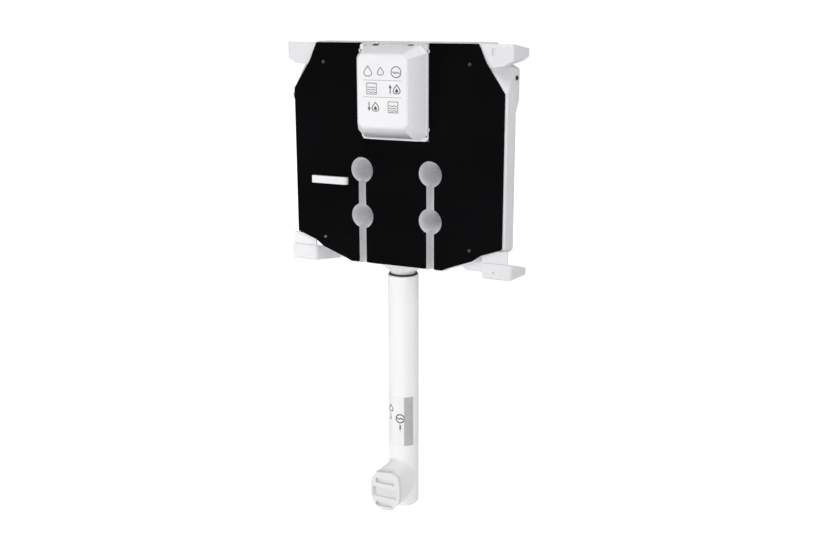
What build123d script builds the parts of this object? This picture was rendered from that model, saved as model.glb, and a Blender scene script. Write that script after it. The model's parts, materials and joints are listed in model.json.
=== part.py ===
from build123d import *
from math import cos, radians, sin
import os

# Slim toilet cistern for building into a wall, with its flush pipe, in millimetres.
# The origin is the centre of the flush outlet's mouth. The front faces -Y, the wall
# behind lies at +Y, and Z is up.

# Depths, front to back, and heights
wall_y = 124
panel_y = 42
panel_thick = 6
pipe_y = 74
panel_top = 810
panel_height = 389
panel_half = 200

# Tank shell
tank_wall = 3
tank_rim = 4
top_rim = 1.5
front_edge = 3
upper_wall_gap = 9
lower_wall_gap = 23
back_round = 12
back_land = 2
outline_round = 6
slope_top_drop = 72
slope_bottom_drop = 122
overrun = 40

# Outlines are read from the top centre down one side, as shares of the panel's half
# width and of its height below the top edge
front_outline_shares = (
    (0.765, 0.0), (0.835, 0.08), (1.0, 0.206), (1.0, 0.879),
    (0.815, 0.913), (0.735, 0.943), (0.515, 0.985), (0.45, 1.0),
)
back_outline_shares = (
    (0.80, 0.0), (0.905, 0.085), (1.0, 0.112), (1.0, 0.895),
    (0.92, 0.925), (0.78, 0.952), (0.54, 0.99), (0.46, 1.0),
)

# Pinched cones and grooves in the tank's front, and the holes round them in the panel
cone_x = 66.5
cone_upper_drop = 221
cone_lower_drop = 304
cone_mouth_r = 23
cone_floor_r = 5
cone_floor_gap = 4
cone_hole_r = 3.5
cone_hole_depth = 4
groove_width = 17
groove_depth = 12
groove_floor_width = 9

# Raised bar that shows through a slot in the panel
bar_left = 167
bar_right = 94
bar_drop = 236
bar_height = 13.5
bar_stand = 2
bar_bevel = 5
bar_gap = 0.8

# Ears at the top corners and feet at the bottom corners, hollow arms that reach the wall
fixing_x = 179
fixing_hole_r = 3.25
mark_width = 4.6
mark_length = 11.5
mark_depth = 1.4
mark_drop = 12.6
bracket_front = 3
bracket_wall = 3
bracket_corner = 6
bracket_edge = 5
bracket_tip = 2.5
ear_in = 150
ear_out = 213.5
ear_knee_in = 197
ear_tip_in = 172
ear_out_drop = 27
ear_knee_drop = 36
ear_in_drop = 39
ear_wall_top_drop = 8.5
ear_wall_bottom_drop = 21
foot_in = 164
foot_neck = 211
foot_out = 217.5
foot_back_in = 142
foot_back_y = 104
foot_root_drop = 345
foot_knee_drop = 367
foot_bottom_drop = 397
foot_wall_top_drop = 388
foot_wall_bottom_drop = 404
foot_mark_x = 186
foot_mark_drop = 383.7
foot_mark_r = 1.5
web_thick = 3
web_in = 113
web_bottom_drop = 399
web_cut = 11

# The blown shell is three nodes that meet flush: its head round the hatch, its two
# shoulders with the ears, and the rest
head_half = 142
head_drop = 170

# Hatch in the tank's front and the frame on it
hatch_half = 52
hatch_top_drop = 16
hatch_bottom_drop = 148
hatch_round = 8
cover_half = 64.3
cover_top_drop = 1.5
cover_bottom_drop = 164.5
fit_gap = 0.3
slip_gap = 0.05
notch_gap = 0.8
collar_height = 14
collar_wall = 2.5
tab_x = 33
tab_width = 12
tab_height = 2.5
tab_length = 10
frame_screw_r = 1.7
frame_screw_head_r = 3.2
frame_screw_head = 1.8
frame_screw_edge = 5

# Inspection cover: a hollow box in two slopes on a thin flange with four eyelets
cover_front_y = -4
cover_flange = 2.4
cover_wall = 2.2
cover_corner = 12
cover_corner_step = 8
cover_round = 3
base_inset = 1.4
shoulder_y = 17
shoulder_inset = 6.5
plateau_half = 47.7
plateau_top_drop = 16
plateau_bottom_drop = 140
plateau_corner = 8
eyelet_x = 63
eyelet_upper_drop = 13
eyelet_lower_drop = 144
eyelet_r = 3.8
eyelet_hole_r = 2.1
clip_slot_width = 10
clip_slot_height = 2.6
clip_slot_drop = 2.6
label_thick = 0.4
label_inset = 2.5
label_corner = 6

# Pins that hold the panel
panel_pin_shares = ((0.695, 0.0848), (0.71, 0.8946))
pin_head_r = 3
pin_head = 1.2
pin_shank_r = 1.9
pin_bite = 2.2

# Rubber plug in the right side wall
plug_y = 89
plug_drop = 56
plug_r = 4.2
plug_dome = 3.8
plug_arc_share = 0.707
plug_stem_r = 2.6
plug_stem = 9

# Outlet boss, seat and gasket at the tank's bottom
boss_width = 84
boss_depth = 50
boss_corner = 20
boss_drop = 12
boss_neck_r = 29
boss_neck = 3
boss_rise = 13
seat_floor_rise = 6
bore_r = 18.7
spigot_r = 18.4
spigot_bore_r = 16.6
spigot_length = 45
gasket_r = 21.5
gasket_thick = 3
seat_flange = 3
seat_mouth_r = 14
washer_r = 25.6
washer_thick = 2.6
nut_r = 24.5
nut_height = 13

# Flush pipe with its bend and socket
pipe_r = 22.5
pipe_wall = 1.8
bend_r = 42
socket_bore_r = 22.6
socket_wall = 3.4
socket_length = 30
seal_groove_r = 24.4
seal_from_mouth = 6
seal_width = 6
pipe_seal_drop = 6
pipe_seal_width = 4

# Insulating sleeve round the pipe, and its label
sleeve_r = 28.5
sleeve_top_gap = 0.4
sleeve_pocket_r = 25.2
sleeve_pocket = 16
sleeve_bottom = -54
sleeve_round = 8
sleeve_gap = 0.3
sleeve_joint = 64
branch_face_y = 3
branch_waist_y = 30
branch_waist_z = 5
branch_waist_half_width = 29
branch_waist_half_height = 33.6
branch_root_z = 14
branch_root_half_width = 27.6
branch_root_half_height = 30
pipe_label_top = 170
pipe_label_bottom = 72
pipe_label_thick = 0.3
pipe_label_sweep = 170
pipe_label_turn = -75

# Cap over the outlet: an upright oval with three pockets
cap_x = -1.2
cap_z = 1.4
cap_half_width = 30.6
cap_half_height = 38.6
cap_front_y = -6
cap_pocket = 4.6
cap_edge = 1
cap_round = 3
branch_inset = 0.4

# Pockets of the cap: middle across and up, then half sizes, as shares of its half sizes
cap_pocket_shares = (
    (0.01, 0.495, 0.63, 0.13), (-0.02, -0.08, 0.79, 0.25), (-0.075, -0.697, 0.54, 0.117),
)

# Outline of the cap and of the branch's mouth, as shares of their half sizes
mouth_outline_shares = (
    (0.48, 1.0), (0.87, 0.84), (0.98, 0.44), (1.0, -0.25), (0.92, -0.57), (0.45, -0.97),
    (-0.25, -1.0), (-0.71, -0.81), (-0.97, -0.40), (-1.0, 0.14), (-0.93, 0.53), (-0.62, 0.94),
)

# Flush valve
tube_r = 12
tube_bore_r = 10
tube_top = 676
running_gap = 0.06
bell_r = 16.5
bell_flange = 3
bell_seal_thick = 2.5
basket_r = 21.5
basket_bore_r = 17.5
basket_base = 5
basket_post = 3
basket_posts = 5
basket_window = 51
basket_head = 6
tower_x = 15.5
tower_width = 4
tower_depth = 9
tower_top = 600
tower_ring_r = 17
tower_ring = 6

# Flush levers on their bracket behind the hatch
lever_x = 29
lever_pivot_y = 57
lever_pivot_z = 742
lever_arm = 33
lever_rest_angle = 13
lever_thick = 8
lever_arm_r = 3
lever_nose_r = 4
lever_hub_r = 5.5
lever_push = 26
lever_push_r = 4.5
axle_r = 2.5
cheek_thick = 3
cheek_gap = 2
cheek_back = 6
bracket_bar_half = 60
bracket_bar_height = 14
bracket_bar_rise = 12
bracket_bar_thick = 3.6

# Lift yoke on the overflow tube
yoke_collar_r = 15
yoke_collar = 12
yoke_collar_drop = 16
strap_width = 12
strap_thick = 3
yoke_bar = 4
yoke_bar_depth = 8

# Half flush rod and float
half_rod_r = 2
half_rod_gap = 1.3
half_head = 3
half_rod_under = 6
half_float_r = 7
half_float_height = 46
half_float_drop = 64
guide_eye_r = 4.5
guide_arm_width = 5

# Water inlet through the left side wall
inlet_y = 84
inlet_drop = 96
inlet_r = 10.5
inlet_hole_gap = 0.3
inlet_bore_r = 7
inlet_flange_r = 13.6
inlet_flange = 3
inlet_reach = 18
thread_relief = 0.6
inlet_gasket_thick = 2
inlet_nut_flats = 15
inlet_nut_thick = 5

# Stop valve and supply tube
stop_r = 11
stop_length = 30
stop_ring = 4
stop_bonnet_r = 6
stop_bonnet = 5
handle_length = 26
handle_width = 8
handle_thick = 4
handle_hub_r = 6.5
handle_screw_r = 3
handle_screw_head = 1.5
handle_stem_r = 1.8
supply_r = 6
supply_wall = 1.2
supply_length = 17
supply_nut_flats = 9
supply_nut_length = 5

# Fill valve, float and float lever
fill_x = -135
head_r = 14
head_height = 30
port_r = 8
fill_tube_r = 9
fill_tube_bore_r = 7
fill_tube_length = 140
cap_ring_r = 15
cap_ring = 8
cap_flutes = 12
cap_flute_r = 1.4
fork_gap = 0.3
fork_cheek = 3
fork_width = 8
fork_rise = 10
fork_round = 4
lever_pin_r = 1.5
float_arm = 44
float_lever_x = -147
float_lever_thick = 4
float_lever_width = 6
float_lever_end = 9
float_slot_width = 5
float_slot_length = 10
float_slot_back = 3
float_rod_r = 2
float_rod_over = 12
float_collar_r = 4
float_collar = 2
float_collar_gap = 1.2
float_left = -163
float_right = -96
float_front_gap = 4
float_back_gap = 2.5
float_bottom = 590
float_height = 70
float_round = 5
float_clear = 0.4
pilot_r = 2
pilot_gap = 0.5

# Places that follow from the sizes above
tank_front = panel_y + panel_thick
tank_top = panel_top + top_rim
tank_bottom = panel_top - panel_height - tank_rim
tank_side = panel_half + tank_rim
upper_back = wall_y - upper_wall_gap
lower_back = wall_y - lower_wall_gap
boss_bottom = tank_bottom - boss_drop - boss_neck
seat_floor = boss_bottom + seat_floor_rise
seat_top = seat_floor + gasket_thick + seat_flange
nut_top = boss_bottom - washer_thick
pipe_top = nut_top - nut_height - fit_gap
inlet_z = panel_top - inlet_drop
tip_y = lever_pivot_y + lever_arm * cos(radians(lever_rest_angle))
tip_z = lever_pivot_z - lever_arm * sin(radians(lever_rest_angle))
lift_z = tip_z + lever_nose_r + fit_gap
push_z = lever_pivot_z - lever_push
half_rod_x = lever_x + lever_thick / 2 + half_rod_r + half_rod_gap
half_float_bottom = tower_top - half_float_drop - half_float_height
half_rod_bottom = half_float_bottom - half_rod_under
cone_drops = (cone_upper_drop, cone_lower_drop)
eyelet_drops = (eyelet_upper_drop, eyelet_lower_drop)
plate_y = panel_y + bracket_front
ear_hole_drop = (ear_wall_top_drop + ear_wall_bottom_drop) / 2
foot_hole_drop = (foot_wall_top_drop + foot_wall_bottom_drop) / 2


def facing(y):
    """Upright plane at depth y, seen from the front."""
    return Plane(origin=(0, y, 0), x_dir=(1, 0, 0), z_dir=(0, -1, 0))


def write(piece, name):
    piece.part.label = name
    export_step(piece.part, f"parts/{name}.step")


def drop(depth):
    """Height of a point that lies this far below the panel's top edge."""
    return panel_top - depth


def outline(shares, y, grow, rounding):
    """Closed outline at depth y, symmetric about the centre plane."""
    half = [(panel_half * across, drop(panel_height * down)) for across, down in shares]
    mirrored = [(-x, z) for x, z in reversed(half)]
    with BuildSketch(facing(y)) as shape:
        with BuildLine():
            Polyline(*half, *mirrored, close=True)
        make_face()
        if grow:
            offset(amount=grow, kind=Kind.INTERSECTION)
        fillet(shape.vertices(), rounding)
    return shape.sketch


def ring(centre, bottom, top, outer, bore=0):
    """Upright round piece, bored through when a bore is given."""
    with BuildPart() as piece:
        with BuildSketch(Plane.XY.offset(bottom)):
            with Locations(centre):
                Circle(outer)
                if bore:
                    Circle(bore, mode=Mode.SUBTRACT)
        extrude(amount=top - bottom)
    return piece.part


def link(start, end, radius):
    """Straight link with round ends, drawn in the sketch that is open."""
    middle = ((start[0] + end[0]) / 2, (start[1] + end[1]) / 2)
    return SlotCenterPoint(middle, end, 2 * radius)


def cross_ring(y, z, left, right, outer, bore=0):
    """Round piece that lies along X."""
    with BuildPart() as piece:
        with BuildSketch(Plane.YZ.offset(left)):
            with Locations((y, z)):
                Circle(outer)
                if bore:
                    Circle(bore, mode=Mode.SUBTRACT)
        extrude(amount=right - left)
    return piece.part


# Tank: a blown shell, deeper above the slope than below it

def tank_form(inset, rounding):
    """Outer form of the tank, or the water space when inset by the wall."""
    grow = tank_rim - inset
    deep_y = upper_back - inset
    shallow_y = lower_back - inset
    waist_y = shallow_y - rounding - back_land
    with BuildPart() as shallow:
        if not inset:
            add(outline(front_outline_shares, tank_front, grow - front_edge, outline_round))
        add(outline(front_outline_shares, tank_front + (inset or front_edge), grow, outline_round))
        add(outline(back_outline_shares, waist_y, grow, outline_round))
        add(outline(back_outline_shares, shallow_y, grow, outline_round))
        loft(ruled=True)
        fillet(shallow.faces().sort_by(Axis.Y)[-1].edges(), rounding)
    with BuildPart() as deep:
        add(outline(back_outline_shares, waist_y, grow, outline_round))
        add(outline(back_outline_shares, deep_y, grow, outline_round))
        loft(ruled=True)
        with BuildSketch(Plane.YZ):
            with BuildLine():
                Polyline(
                    (waist_y, drop(slope_bottom_drop)),
                    (waist_y, tank_top + tank_rim),
                    (deep_y, tank_top + tank_rim),
                    (deep_y, drop(slope_top_drop)),
                    close=True,
                )
            make_face()
        extrude(amount=tank_side, both=True, mode=Mode.INTERSECT)
        fillet(deep.faces().sort_by(Axis.Y)[-1].edges(), rounding)
    with BuildPart() as form:
        add(shallow.part)
        add(deep.part)
        split(bisect_by=Plane.XY.offset(tank_top - inset), keep=Keep.BOTTOM)
    return form.part


def cones(extra, floor_y):
    """Pinched cones, grown by extra, that narrow from the front to floor_y."""
    depth = floor_y - tank_front
    with BuildPart() as group:
        for x in (-cone_x, cone_x):
            for cone_drop in cone_drops:
                with BuildSketch(facing(tank_front)):
                    with Locations((x, drop(cone_drop))):
                        Circle(cone_mouth_r + extra)
                with BuildSketch(facing(tank_front + depth)):
                    with Locations((x, drop(cone_drop))):
                        Circle(cone_floor_r + extra)
                loft()
    return group.part


def grooves(extra):
    """Grooves that join the cones and run down to the bottom edge, grown by extra."""
    top = drop(cone_drops[0])
    bottom = tank_bottom - tank_rim
    height = top - bottom
    with BuildPart() as group:
        for x in (-cone_x, cone_x):
            with BuildSketch(facing(tank_front)):
                with Locations((x, bottom + height / 2)):
                    Rectangle(groove_width + 2 * extra, height)
            with BuildSketch(facing(tank_front + groove_depth + extra)):
                with Locations((x, bottom + height / 2)):
                    Rectangle(groove_floor_width + 2 * extra, height)
            loft()
    return group.part


def arm_form(front_points, plan_points, side_points, inset):
    """Right-hand arm as a solid, inset by its wall for the hollow."""
    with BuildPart() as form:
        with BuildSketch(facing(plate_y + inset)):
            Polygon(*front_points, align=None)
            if inset:
                offset(amount=-inset, kind=Kind.INTERSECTION)
        extrude(amount=-(wall_y - plate_y - 2 * inset))
        with BuildSketch(Plane.YZ) as side:
            Polygon(*side_points, align=None)
            if inset:
                offset(amount=-inset, kind=Kind.INTERSECTION)
            else:
                fillet(side.vertices().group_by(Axis.Y)[-1], bracket_tip)
        extrude(amount=foot_out + overrun, mode=Mode.INTERSECT)
        with BuildSketch(Plane.XY.offset(drop(foot_wall_bottom_drop) - overrun)) as plan:
            Polygon(*plan_points, align=None)
            if inset:
                offset(amount=-inset, kind=Kind.INTERSECTION)
            else:
                fillet(plan.vertices().group_by(Axis.Y)[0], bracket_edge)
        extrude(amount=foot_wall_bottom_drop + 2 * overrun, mode=Mode.INTERSECT)
    return form.part


def arms(front_points, plan_points, side_points, hole_drop, under_round=0):
    """Hollow arms on both sides, with a fixing hole in the plate at the wall."""
    with BuildPart() as pair:
        add(arm_form(front_points, plan_points, side_points, 0))
        if under_round:
            under_edges = pair.faces().sort_by(Axis.Z)[0].edges().sort_by(Axis.X)
            fillet((under_edges[0], under_edges[-1]), under_round)
        add(arm_form(front_points, plan_points, side_points, bracket_wall), mode=Mode.SUBTRACT)
        with BuildSketch(facing(wall_y)):
            with Locations((fixing_x, drop(hole_drop))):
                Circle(fixing_hole_r)
        extrude(amount=bracket_wall, mode=Mode.SUBTRACT)
        mirror(about=Plane.YZ)
    return pair.part


ear_front = (
    (ear_in, panel_top),
    (ear_out, panel_top),
    (ear_out, drop(ear_out_drop)),
    (ear_knee_in, drop(ear_knee_drop)),
    (ear_tip_in, drop(ear_in_drop)),
    (ear_in, drop(ear_in_drop)),
)
ear_plan = (
    (ear_in, plate_y),
    (ear_out, plate_y),
    (ear_out, wall_y),
    (ear_in, wall_y),
)
ear_side = (
    (plate_y, panel_top),
    (wall_y, drop(ear_wall_top_drop)),
    (wall_y, drop(ear_wall_bottom_drop)),
    (plate_y + bracket_wall, drop(ear_in_drop)),
    (plate_y, drop(ear_in_drop)),
)
foot_front = (
    (foot_back_in, drop(foot_root_drop)),
    (foot_neck, drop(foot_root_drop)),
    (foot_neck, drop(foot_knee_drop)),
    (foot_out, drop(foot_knee_drop) - bracket_wall),
    (foot_out, drop(foot_wall_bottom_drop)),
    (foot_back_in, drop(foot_wall_bottom_drop)),
)
foot_plan = (
    (foot_in, plate_y),
    (foot_out, plate_y),
    (foot_out, wall_y),
    (foot_back_in, wall_y),
    (foot_back_in, foot_back_y),
)
foot_side = (
    (plate_y + bracket_wall, drop(foot_knee_drop)),
    (wall_y, drop(foot_wall_top_drop)),
    (wall_y, drop(foot_wall_bottom_drop)),
    (plate_y, drop(foot_bottom_drop)),
    (plate_y, drop(foot_knee_drop)),
)

ears = arms(ear_front, ear_plan, ear_side, ear_hole_drop)
feet = arms(foot_front, foot_plan, foot_side, foot_hole_drop, bracket_corner)

with BuildPart() as foot_plates:
    with BuildSketch(facing(plate_y)):
        Polygon(
            (foot_in, drop(foot_root_drop)),
            (foot_neck, drop(foot_root_drop)),
            (foot_neck, drop(foot_knee_drop)),
            (foot_in, drop(foot_knee_drop)),
            align=None,
        )
    extrude(amount=-bracket_wall)
    with BuildSketch(facing(lower_back - web_thick)):
        Polygon(
            (foot_back_in + web_thick, drop(web_bottom_drop)),
            (web_in, drop(web_bottom_drop)),
            (web_in - web_cut, drop(web_bottom_drop - web_cut)),
            (web_in - web_cut, drop(foot_knee_drop)),
            (foot_back_in + web_thick, drop(foot_root_drop)),
            align=None,
        )
    extrude(amount=-web_thick)
    mirror(about=Plane.YZ)

with BuildPart() as outlet_boss:
    with BuildSketch(Plane.XY.offset(tank_bottom)):
        with Locations((0, pipe_y)):
            RectangleRounded(boss_width, boss_depth, boss_corner)
    extrude(amount=boss_rise)
    with BuildSketch(Plane.XY.offset(tank_bottom)):
        with Locations((0, pipe_y)):
            RectangleRounded(boss_width, boss_depth, boss_corner)
    with BuildSketch(Plane.XY.offset(tank_bottom - boss_drop)):
        with Locations((0, pipe_y)):
            Circle(boss_neck_r - 2 * boss_neck)
    loft()
    add(ring((0, pipe_y), boss_bottom, tank_bottom - boss_drop, boss_neck_r - 2 * boss_neck))

panel_pins_at = [(panel_half * across, panel_height * down) for across, down in panel_pin_shares]

with BuildPart() as water_space:
    add(tank_form(tank_wall, back_round - tank_wall))
    add(cones(tank_wall, lower_back), mode=Mode.SUBTRACT)
    add(grooves(tank_wall), mode=Mode.SUBTRACT)

hollow_width = boss_width - 4 * tank_wall
hollow_depth = boss_depth - 4 * tank_wall / 3
hollow_corner = boss_corner - tank_wall

with BuildPart() as boss_hollow:
    with BuildSketch(Plane.XY.offset(tank_bottom + tank_wall)):
        with Locations((0, pipe_y)):
            RectangleRounded(hollow_width, hollow_depth, hollow_corner)
    extrude(amount=boss_rise - tank_wall)
    with BuildSketch(Plane.XY.offset(tank_bottom + tank_wall)):
        with Locations((0, pipe_y)):
            RectangleRounded(hollow_width, hollow_depth, hollow_corner)
    with BuildSketch(Plane.XY.offset(seat_floor)):
        with Locations((0, pipe_y)):
            Circle(gasket_r + slip_gap)
    loft()

with BuildPart() as shell:
    add(ears)
    add(feet)
    add(foot_plates.part)
    # the panel lies in a step cut into the ears and feet
    step_face = outline(front_outline_shares, tank_front, bar_gap, back_land).face()
    extrude(step_face, amount=panel_thick + bar_stand, mode=Mode.SUBTRACT)
    add(tank_form(0, back_round))
    add(outlet_boss.part)
    with BuildSketch(facing(tank_front)):
        with Locations((-(bar_left + bar_right) / 2, drop(bar_drop + bar_height / 2))):
            Rectangle(bar_left - bar_right, bar_height)
    extrude(amount=panel_thick + bar_stand)
    bar_end = shell.edges().filter_by(Axis.Z).filter_by_position(
        Axis.Y, panel_y - bar_stand - slip_gap, panel_y - bar_stand + slip_gap
    )
    chamfer(bar_end.sort_by(Axis.X)[-1], bar_bevel)
    add(water_space.part, mode=Mode.SUBTRACT)
    add(boss_hollow.part, mode=Mode.SUBTRACT)
    add(cones(0, lower_back - tank_wall - cone_floor_gap), mode=Mode.SUBTRACT)
    add(grooves(0), mode=Mode.SUBTRACT)
    # blind hole at the bottom of each cone
    with BuildSketch(facing(tank_front)):
        for cone_drop in cone_drops:
            with Locations((-cone_x, drop(cone_drop)), (cone_x, drop(cone_drop))):
                Circle(cone_hole_r)
    extrude(
        amount=-(lower_back - tank_wall - cone_floor_gap + cone_hole_depth - tank_front),
        mode=Mode.SUBTRACT,
    )
    # hatch, and the pilot holes of the frame's screws and the panel's pins
    with BuildSketch(facing(tank_front)):
        with Locations((0, drop(hatch_top_drop / 2 + hatch_bottom_drop / 2))):
            RectangleRounded(2 * hatch_half, hatch_bottom_drop - hatch_top_drop, hatch_round)
    extrude(amount=-(tank_wall + back_land), mode=Mode.SUBTRACT)
    with BuildSketch(facing(tank_front)):
        for x, pin_drop in panel_pins_at:
            with Locations((-x, drop(pin_drop)), (x, drop(pin_drop))):
                Circle(pin_shank_r + slip_gap)
    extrude(amount=-(pin_bite + slip_gap), mode=Mode.SUBTRACT)
    # outlet bore
    with BuildSketch(Plane.XY.offset(boss_bottom)):
        with Locations((0, pipe_y)):
            Circle(bore_r)
    extrude(amount=seat_floor_rise, mode=Mode.SUBTRACT)
    # inlet on the left, plug hole on the right
    with BuildSketch(Plane.YZ.offset(-tank_side)):
        with Locations((inlet_y, inlet_z)):
            Circle(inlet_r + inlet_hole_gap)
    extrude(amount=tank_wall + back_land, mode=Mode.SUBTRACT)
    with BuildSketch(Plane.YZ.offset(tank_side)):
        with Locations((plug_y, drop(plug_drop))):
            Circle(plug_stem_r + slip_gap)
    extrude(amount=-(plug_stem + overrun / 2), mode=Mode.SUBTRACT)
    # shallow marks in the right ear and foot
    with BuildSketch(facing(plate_y)):
        with Locations((fixing_x, drop(mark_drop))):
            SlotOverall(mark_length, mark_width, rotation=90)
        with Locations((foot_mark_x, drop(foot_mark_drop))):
            Circle(foot_mark_r)
    extrude(amount=-mark_depth, mode=Mode.SUBTRACT)

with BuildPart() as upper_block:
    with BuildSketch(Plane.XY.offset(drop(head_drop))):
        with Locations((0, wall_y / 2)):
            Rectangle(2 * (ear_out + overrun), wall_y + 2 * overrun)
    extrude(amount=head_drop + overrun)

with BuildPart() as head_block:
    with BuildSketch(Plane.XY.offset(drop(head_drop))):
        with Locations((0, wall_y / 2)):
            Rectangle(2 * head_half, wall_y + 2 * overrun)
    extrude(amount=head_drop + overrun)

with BuildPart() as tank:
    add(shell.part)
    add(upper_block.part, mode=Mode.SUBTRACT)
write(tank, "tank")

with BuildPart() as tank_shoulders:
    add(shell.part)
    add(upper_block.part, mode=Mode.INTERSECT)
    add(head_block.part, mode=Mode.SUBTRACT)
write(tank_shoulders, "tank_shoulders")

with BuildPart() as tank_head:
    add(shell.part)
    add(head_block.part, mode=Mode.INTERSECT)
write(tank_head, "tank_head")


# Panel on the tank's front, its pins and the side plug

with BuildPart() as foam_panel:
    extrude(outline(front_outline_shares, tank_front, 0, back_land).face(), amount=panel_thick)
    with BuildSketch(facing(panel_y)):
        notch_drop = cover_bottom_drop + notch_gap
        with Locations((0, drop(notch_drop / 2) + overrun / 2)):
            Rectangle(2 * (cover_half + notch_gap), notch_drop + overrun)
        for cone_drop in cone_drops:
            with Locations((-cone_x, drop(cone_drop)), (cone_x, drop(cone_drop))):
                Circle(cone_mouth_r)
        run = drop(cone_drops[0]) - tank_bottom
        with Locations((-cone_x, tank_bottom + run / 2), (cone_x, tank_bottom + run / 2)):
            Rectangle(groove_width, run)
        with Locations((-(bar_left + bar_right) / 2, drop(bar_drop + bar_height / 2))):
            Rectangle(bar_left - bar_right + 2 * bar_gap, bar_height + 2 * bar_gap)
        for x, pin_drop in panel_pins_at:
            with Locations((-x, drop(pin_drop)), (x, drop(pin_drop))):
                Circle(pin_shank_r + slip_gap)
    extrude(amount=-panel_thick, mode=Mode.SUBTRACT)
write(foam_panel, "foam_panel")

with BuildPart() as panel_pins:
    for x, pin_drop in panel_pins_at:
        for side in (-x, x):
            with BuildSketch(facing(panel_y)):
                with Locations((side, drop(pin_drop))):
                    Circle(pin_head_r)
            extrude(amount=pin_head)
            with BuildSketch(facing(panel_y)):
                with Locations((side, drop(pin_drop))):
                    Circle(pin_shank_r)
            extrude(amount=-(panel_thick + pin_bite))
    fillet(panel_pins.faces().filter_by(Axis.Y).group_by(Axis.Y)[0].edges(), pin_head / 2)
write(panel_pins, "panel_pins")

with BuildPart() as side_plug:
    with BuildSketch(Plane.XZ.offset(-plug_y)):
        with BuildLine():
            Line((tank_side + slip_gap, drop(plug_drop)), (tank_side + plug_dome, drop(plug_drop)))
            ThreePointArc(
                (tank_side + plug_dome, drop(plug_drop)),
                (tank_side + plug_dome * plug_arc_share, drop(plug_drop) + plug_r * plug_arc_share),
                (tank_side + slip_gap, drop(plug_drop) + plug_r),
            )
            Line(
                (tank_side + slip_gap, drop(plug_drop) + plug_r),
                (tank_side + slip_gap, drop(plug_drop)),
            )
        make_face()
    revolve(axis=Axis((0, plug_y, drop(plug_drop)), (1, 0, 0)))
    add(cross_ring(plug_y, drop(plug_drop), tank_side - plug_stem, tank_side + slip_gap, plug_stem_r))
write(side_plug, "side_plug")


# Frame round the hatch, with a collar inside the cover and two guide tabs above it

frame_top_drop = cover_top_drop + notch_gap
frame_bottom_drop = cover_bottom_drop
frame_half = cover_half
frame_mid = drop(frame_top_drop / 2 + frame_bottom_drop / 2)
hatch_mid = drop(hatch_top_drop / 2 + hatch_bottom_drop / 2)
hatch_height = hatch_bottom_drop - hatch_top_drop
frame_height = frame_bottom_drop - frame_top_drop
screw_places = (frame_half - frame_screw_edge, frame_height / 2 - 2 * frame_screw_edge)

with BuildPart() as shaft_frame:
    with BuildSketch(facing(panel_y)):
        with Locations((0, frame_mid)):
            RectangleRounded(2 * frame_half, frame_height, hatch_round)
        with Locations((0, hatch_mid)):
            RectangleRounded(2 * hatch_half, hatch_height, hatch_round, mode=Mode.SUBTRACT)
    extrude(amount=-panel_thick)
    with BuildSketch(facing(panel_y)):
        with Locations((0, hatch_mid)):
            RectangleRounded(
                2 * (hatch_half + collar_wall), hatch_height + 2 * collar_wall, hatch_round + collar_wall
            )
            RectangleRounded(2 * hatch_half, hatch_height, hatch_round, mode=Mode.SUBTRACT)
    extrude(amount=collar_height)
    with BuildSketch(facing(tank_front)):
        for side in (-tab_x, tab_x):
            with Locations((side, drop(cover_top_drop) + fit_gap + tab_height / 2)):
                Rectangle(tab_width, tab_height)
            with Locations((side, drop(frame_top_drop) + tab_height / 4)):
                Rectangle(tab_width, tab_height)
    extrude(amount=panel_thick)
    with BuildSketch(facing(panel_y)):
        for side in (-tab_x, tab_x):
            with Locations((side, drop(cover_top_drop) + fit_gap + tab_height / 2)):
                Rectangle(tab_width, tab_height)
    extrude(amount=tab_length)
    with BuildSketch(facing(panel_y)):
        with Locations((0, frame_mid)):
            with GridLocations(2 * screw_places[0], 2 * screw_places[1], 2, 2):
                Circle(frame_screw_r + slip_gap)
    extrude(amount=-panel_thick, mode=Mode.SUBTRACT)
    with BuildSketch(facing(panel_y)):
        with Locations((0, frame_mid)):
            with GridLocations(2 * screw_places[0], 2 * screw_places[1], 2, 2):
                Circle(frame_screw_head_r + fit_gap)
    extrude(amount=-frame_screw_head, mode=Mode.SUBTRACT)
write(shaft_frame, "shaft_frame")

with BuildPart() as frame_screws:
    with BuildSketch(facing(panel_y + frame_screw_head)):
        with Locations((0, frame_mid)):
            with GridLocations(2 * screw_places[0], 2 * screw_places[1], 2, 2):
                Circle(frame_screw_head_r)
    extrude(amount=frame_screw_head)
    with BuildSketch(facing(panel_y + frame_screw_head)):
        with Locations((0, frame_mid)):
            with GridLocations(2 * screw_places[0], 2 * screw_places[1], 2, 2):
                Circle(frame_screw_r)
    extrude(amount=-(panel_thick - frame_screw_head))
write(frame_screws, "frame_screws")


# Inspection cover

def cover_section(y, half, top_drop, bottom_drop, corner):
    """Cross-section of the box at depth y, with cut corners."""
    with BuildSketch(facing(y)) as section:
        with Locations((0, drop(top_drop / 2 + bottom_drop / 2))):
            Rectangle(2 * half, bottom_drop - top_drop)
        chamfer(section.vertices(), corner)
    return section.sketch


def cover_box(inset, back_y):
    """The two slopes of the box, as a solid, inset by the wall for its hollow."""
    base_half = cover_half - base_inset - inset
    shoulder_half = cover_half - shoulder_inset - inset
    with BuildPart() as box:
        add(cover_section(
            back_y, base_half, cover_top_drop + base_inset + inset,
            cover_bottom_drop - base_inset - inset, cover_corner,
        ))
        add(cover_section(
            shoulder_y, shoulder_half, cover_top_drop + shoulder_inset + inset,
            cover_bottom_drop - shoulder_inset - inset, cover_corner,
        ))
        loft(ruled=True)
        add(cover_section(
            shoulder_y, shoulder_half - inset / 2, cover_top_drop + shoulder_inset + inset * 3 / 2,
            cover_bottom_drop - shoulder_inset - inset * 3 / 2, cover_corner,
        ))
        add(cover_section(
            cover_front_y + inset, plateau_half - inset / 2, plateau_top_drop + inset / 2,
            plateau_bottom_drop - inset / 2, plateau_corner,
        ))
        loft(ruled=True)
    return box.part


flange_back_y = panel_y - fit_gap

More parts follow.
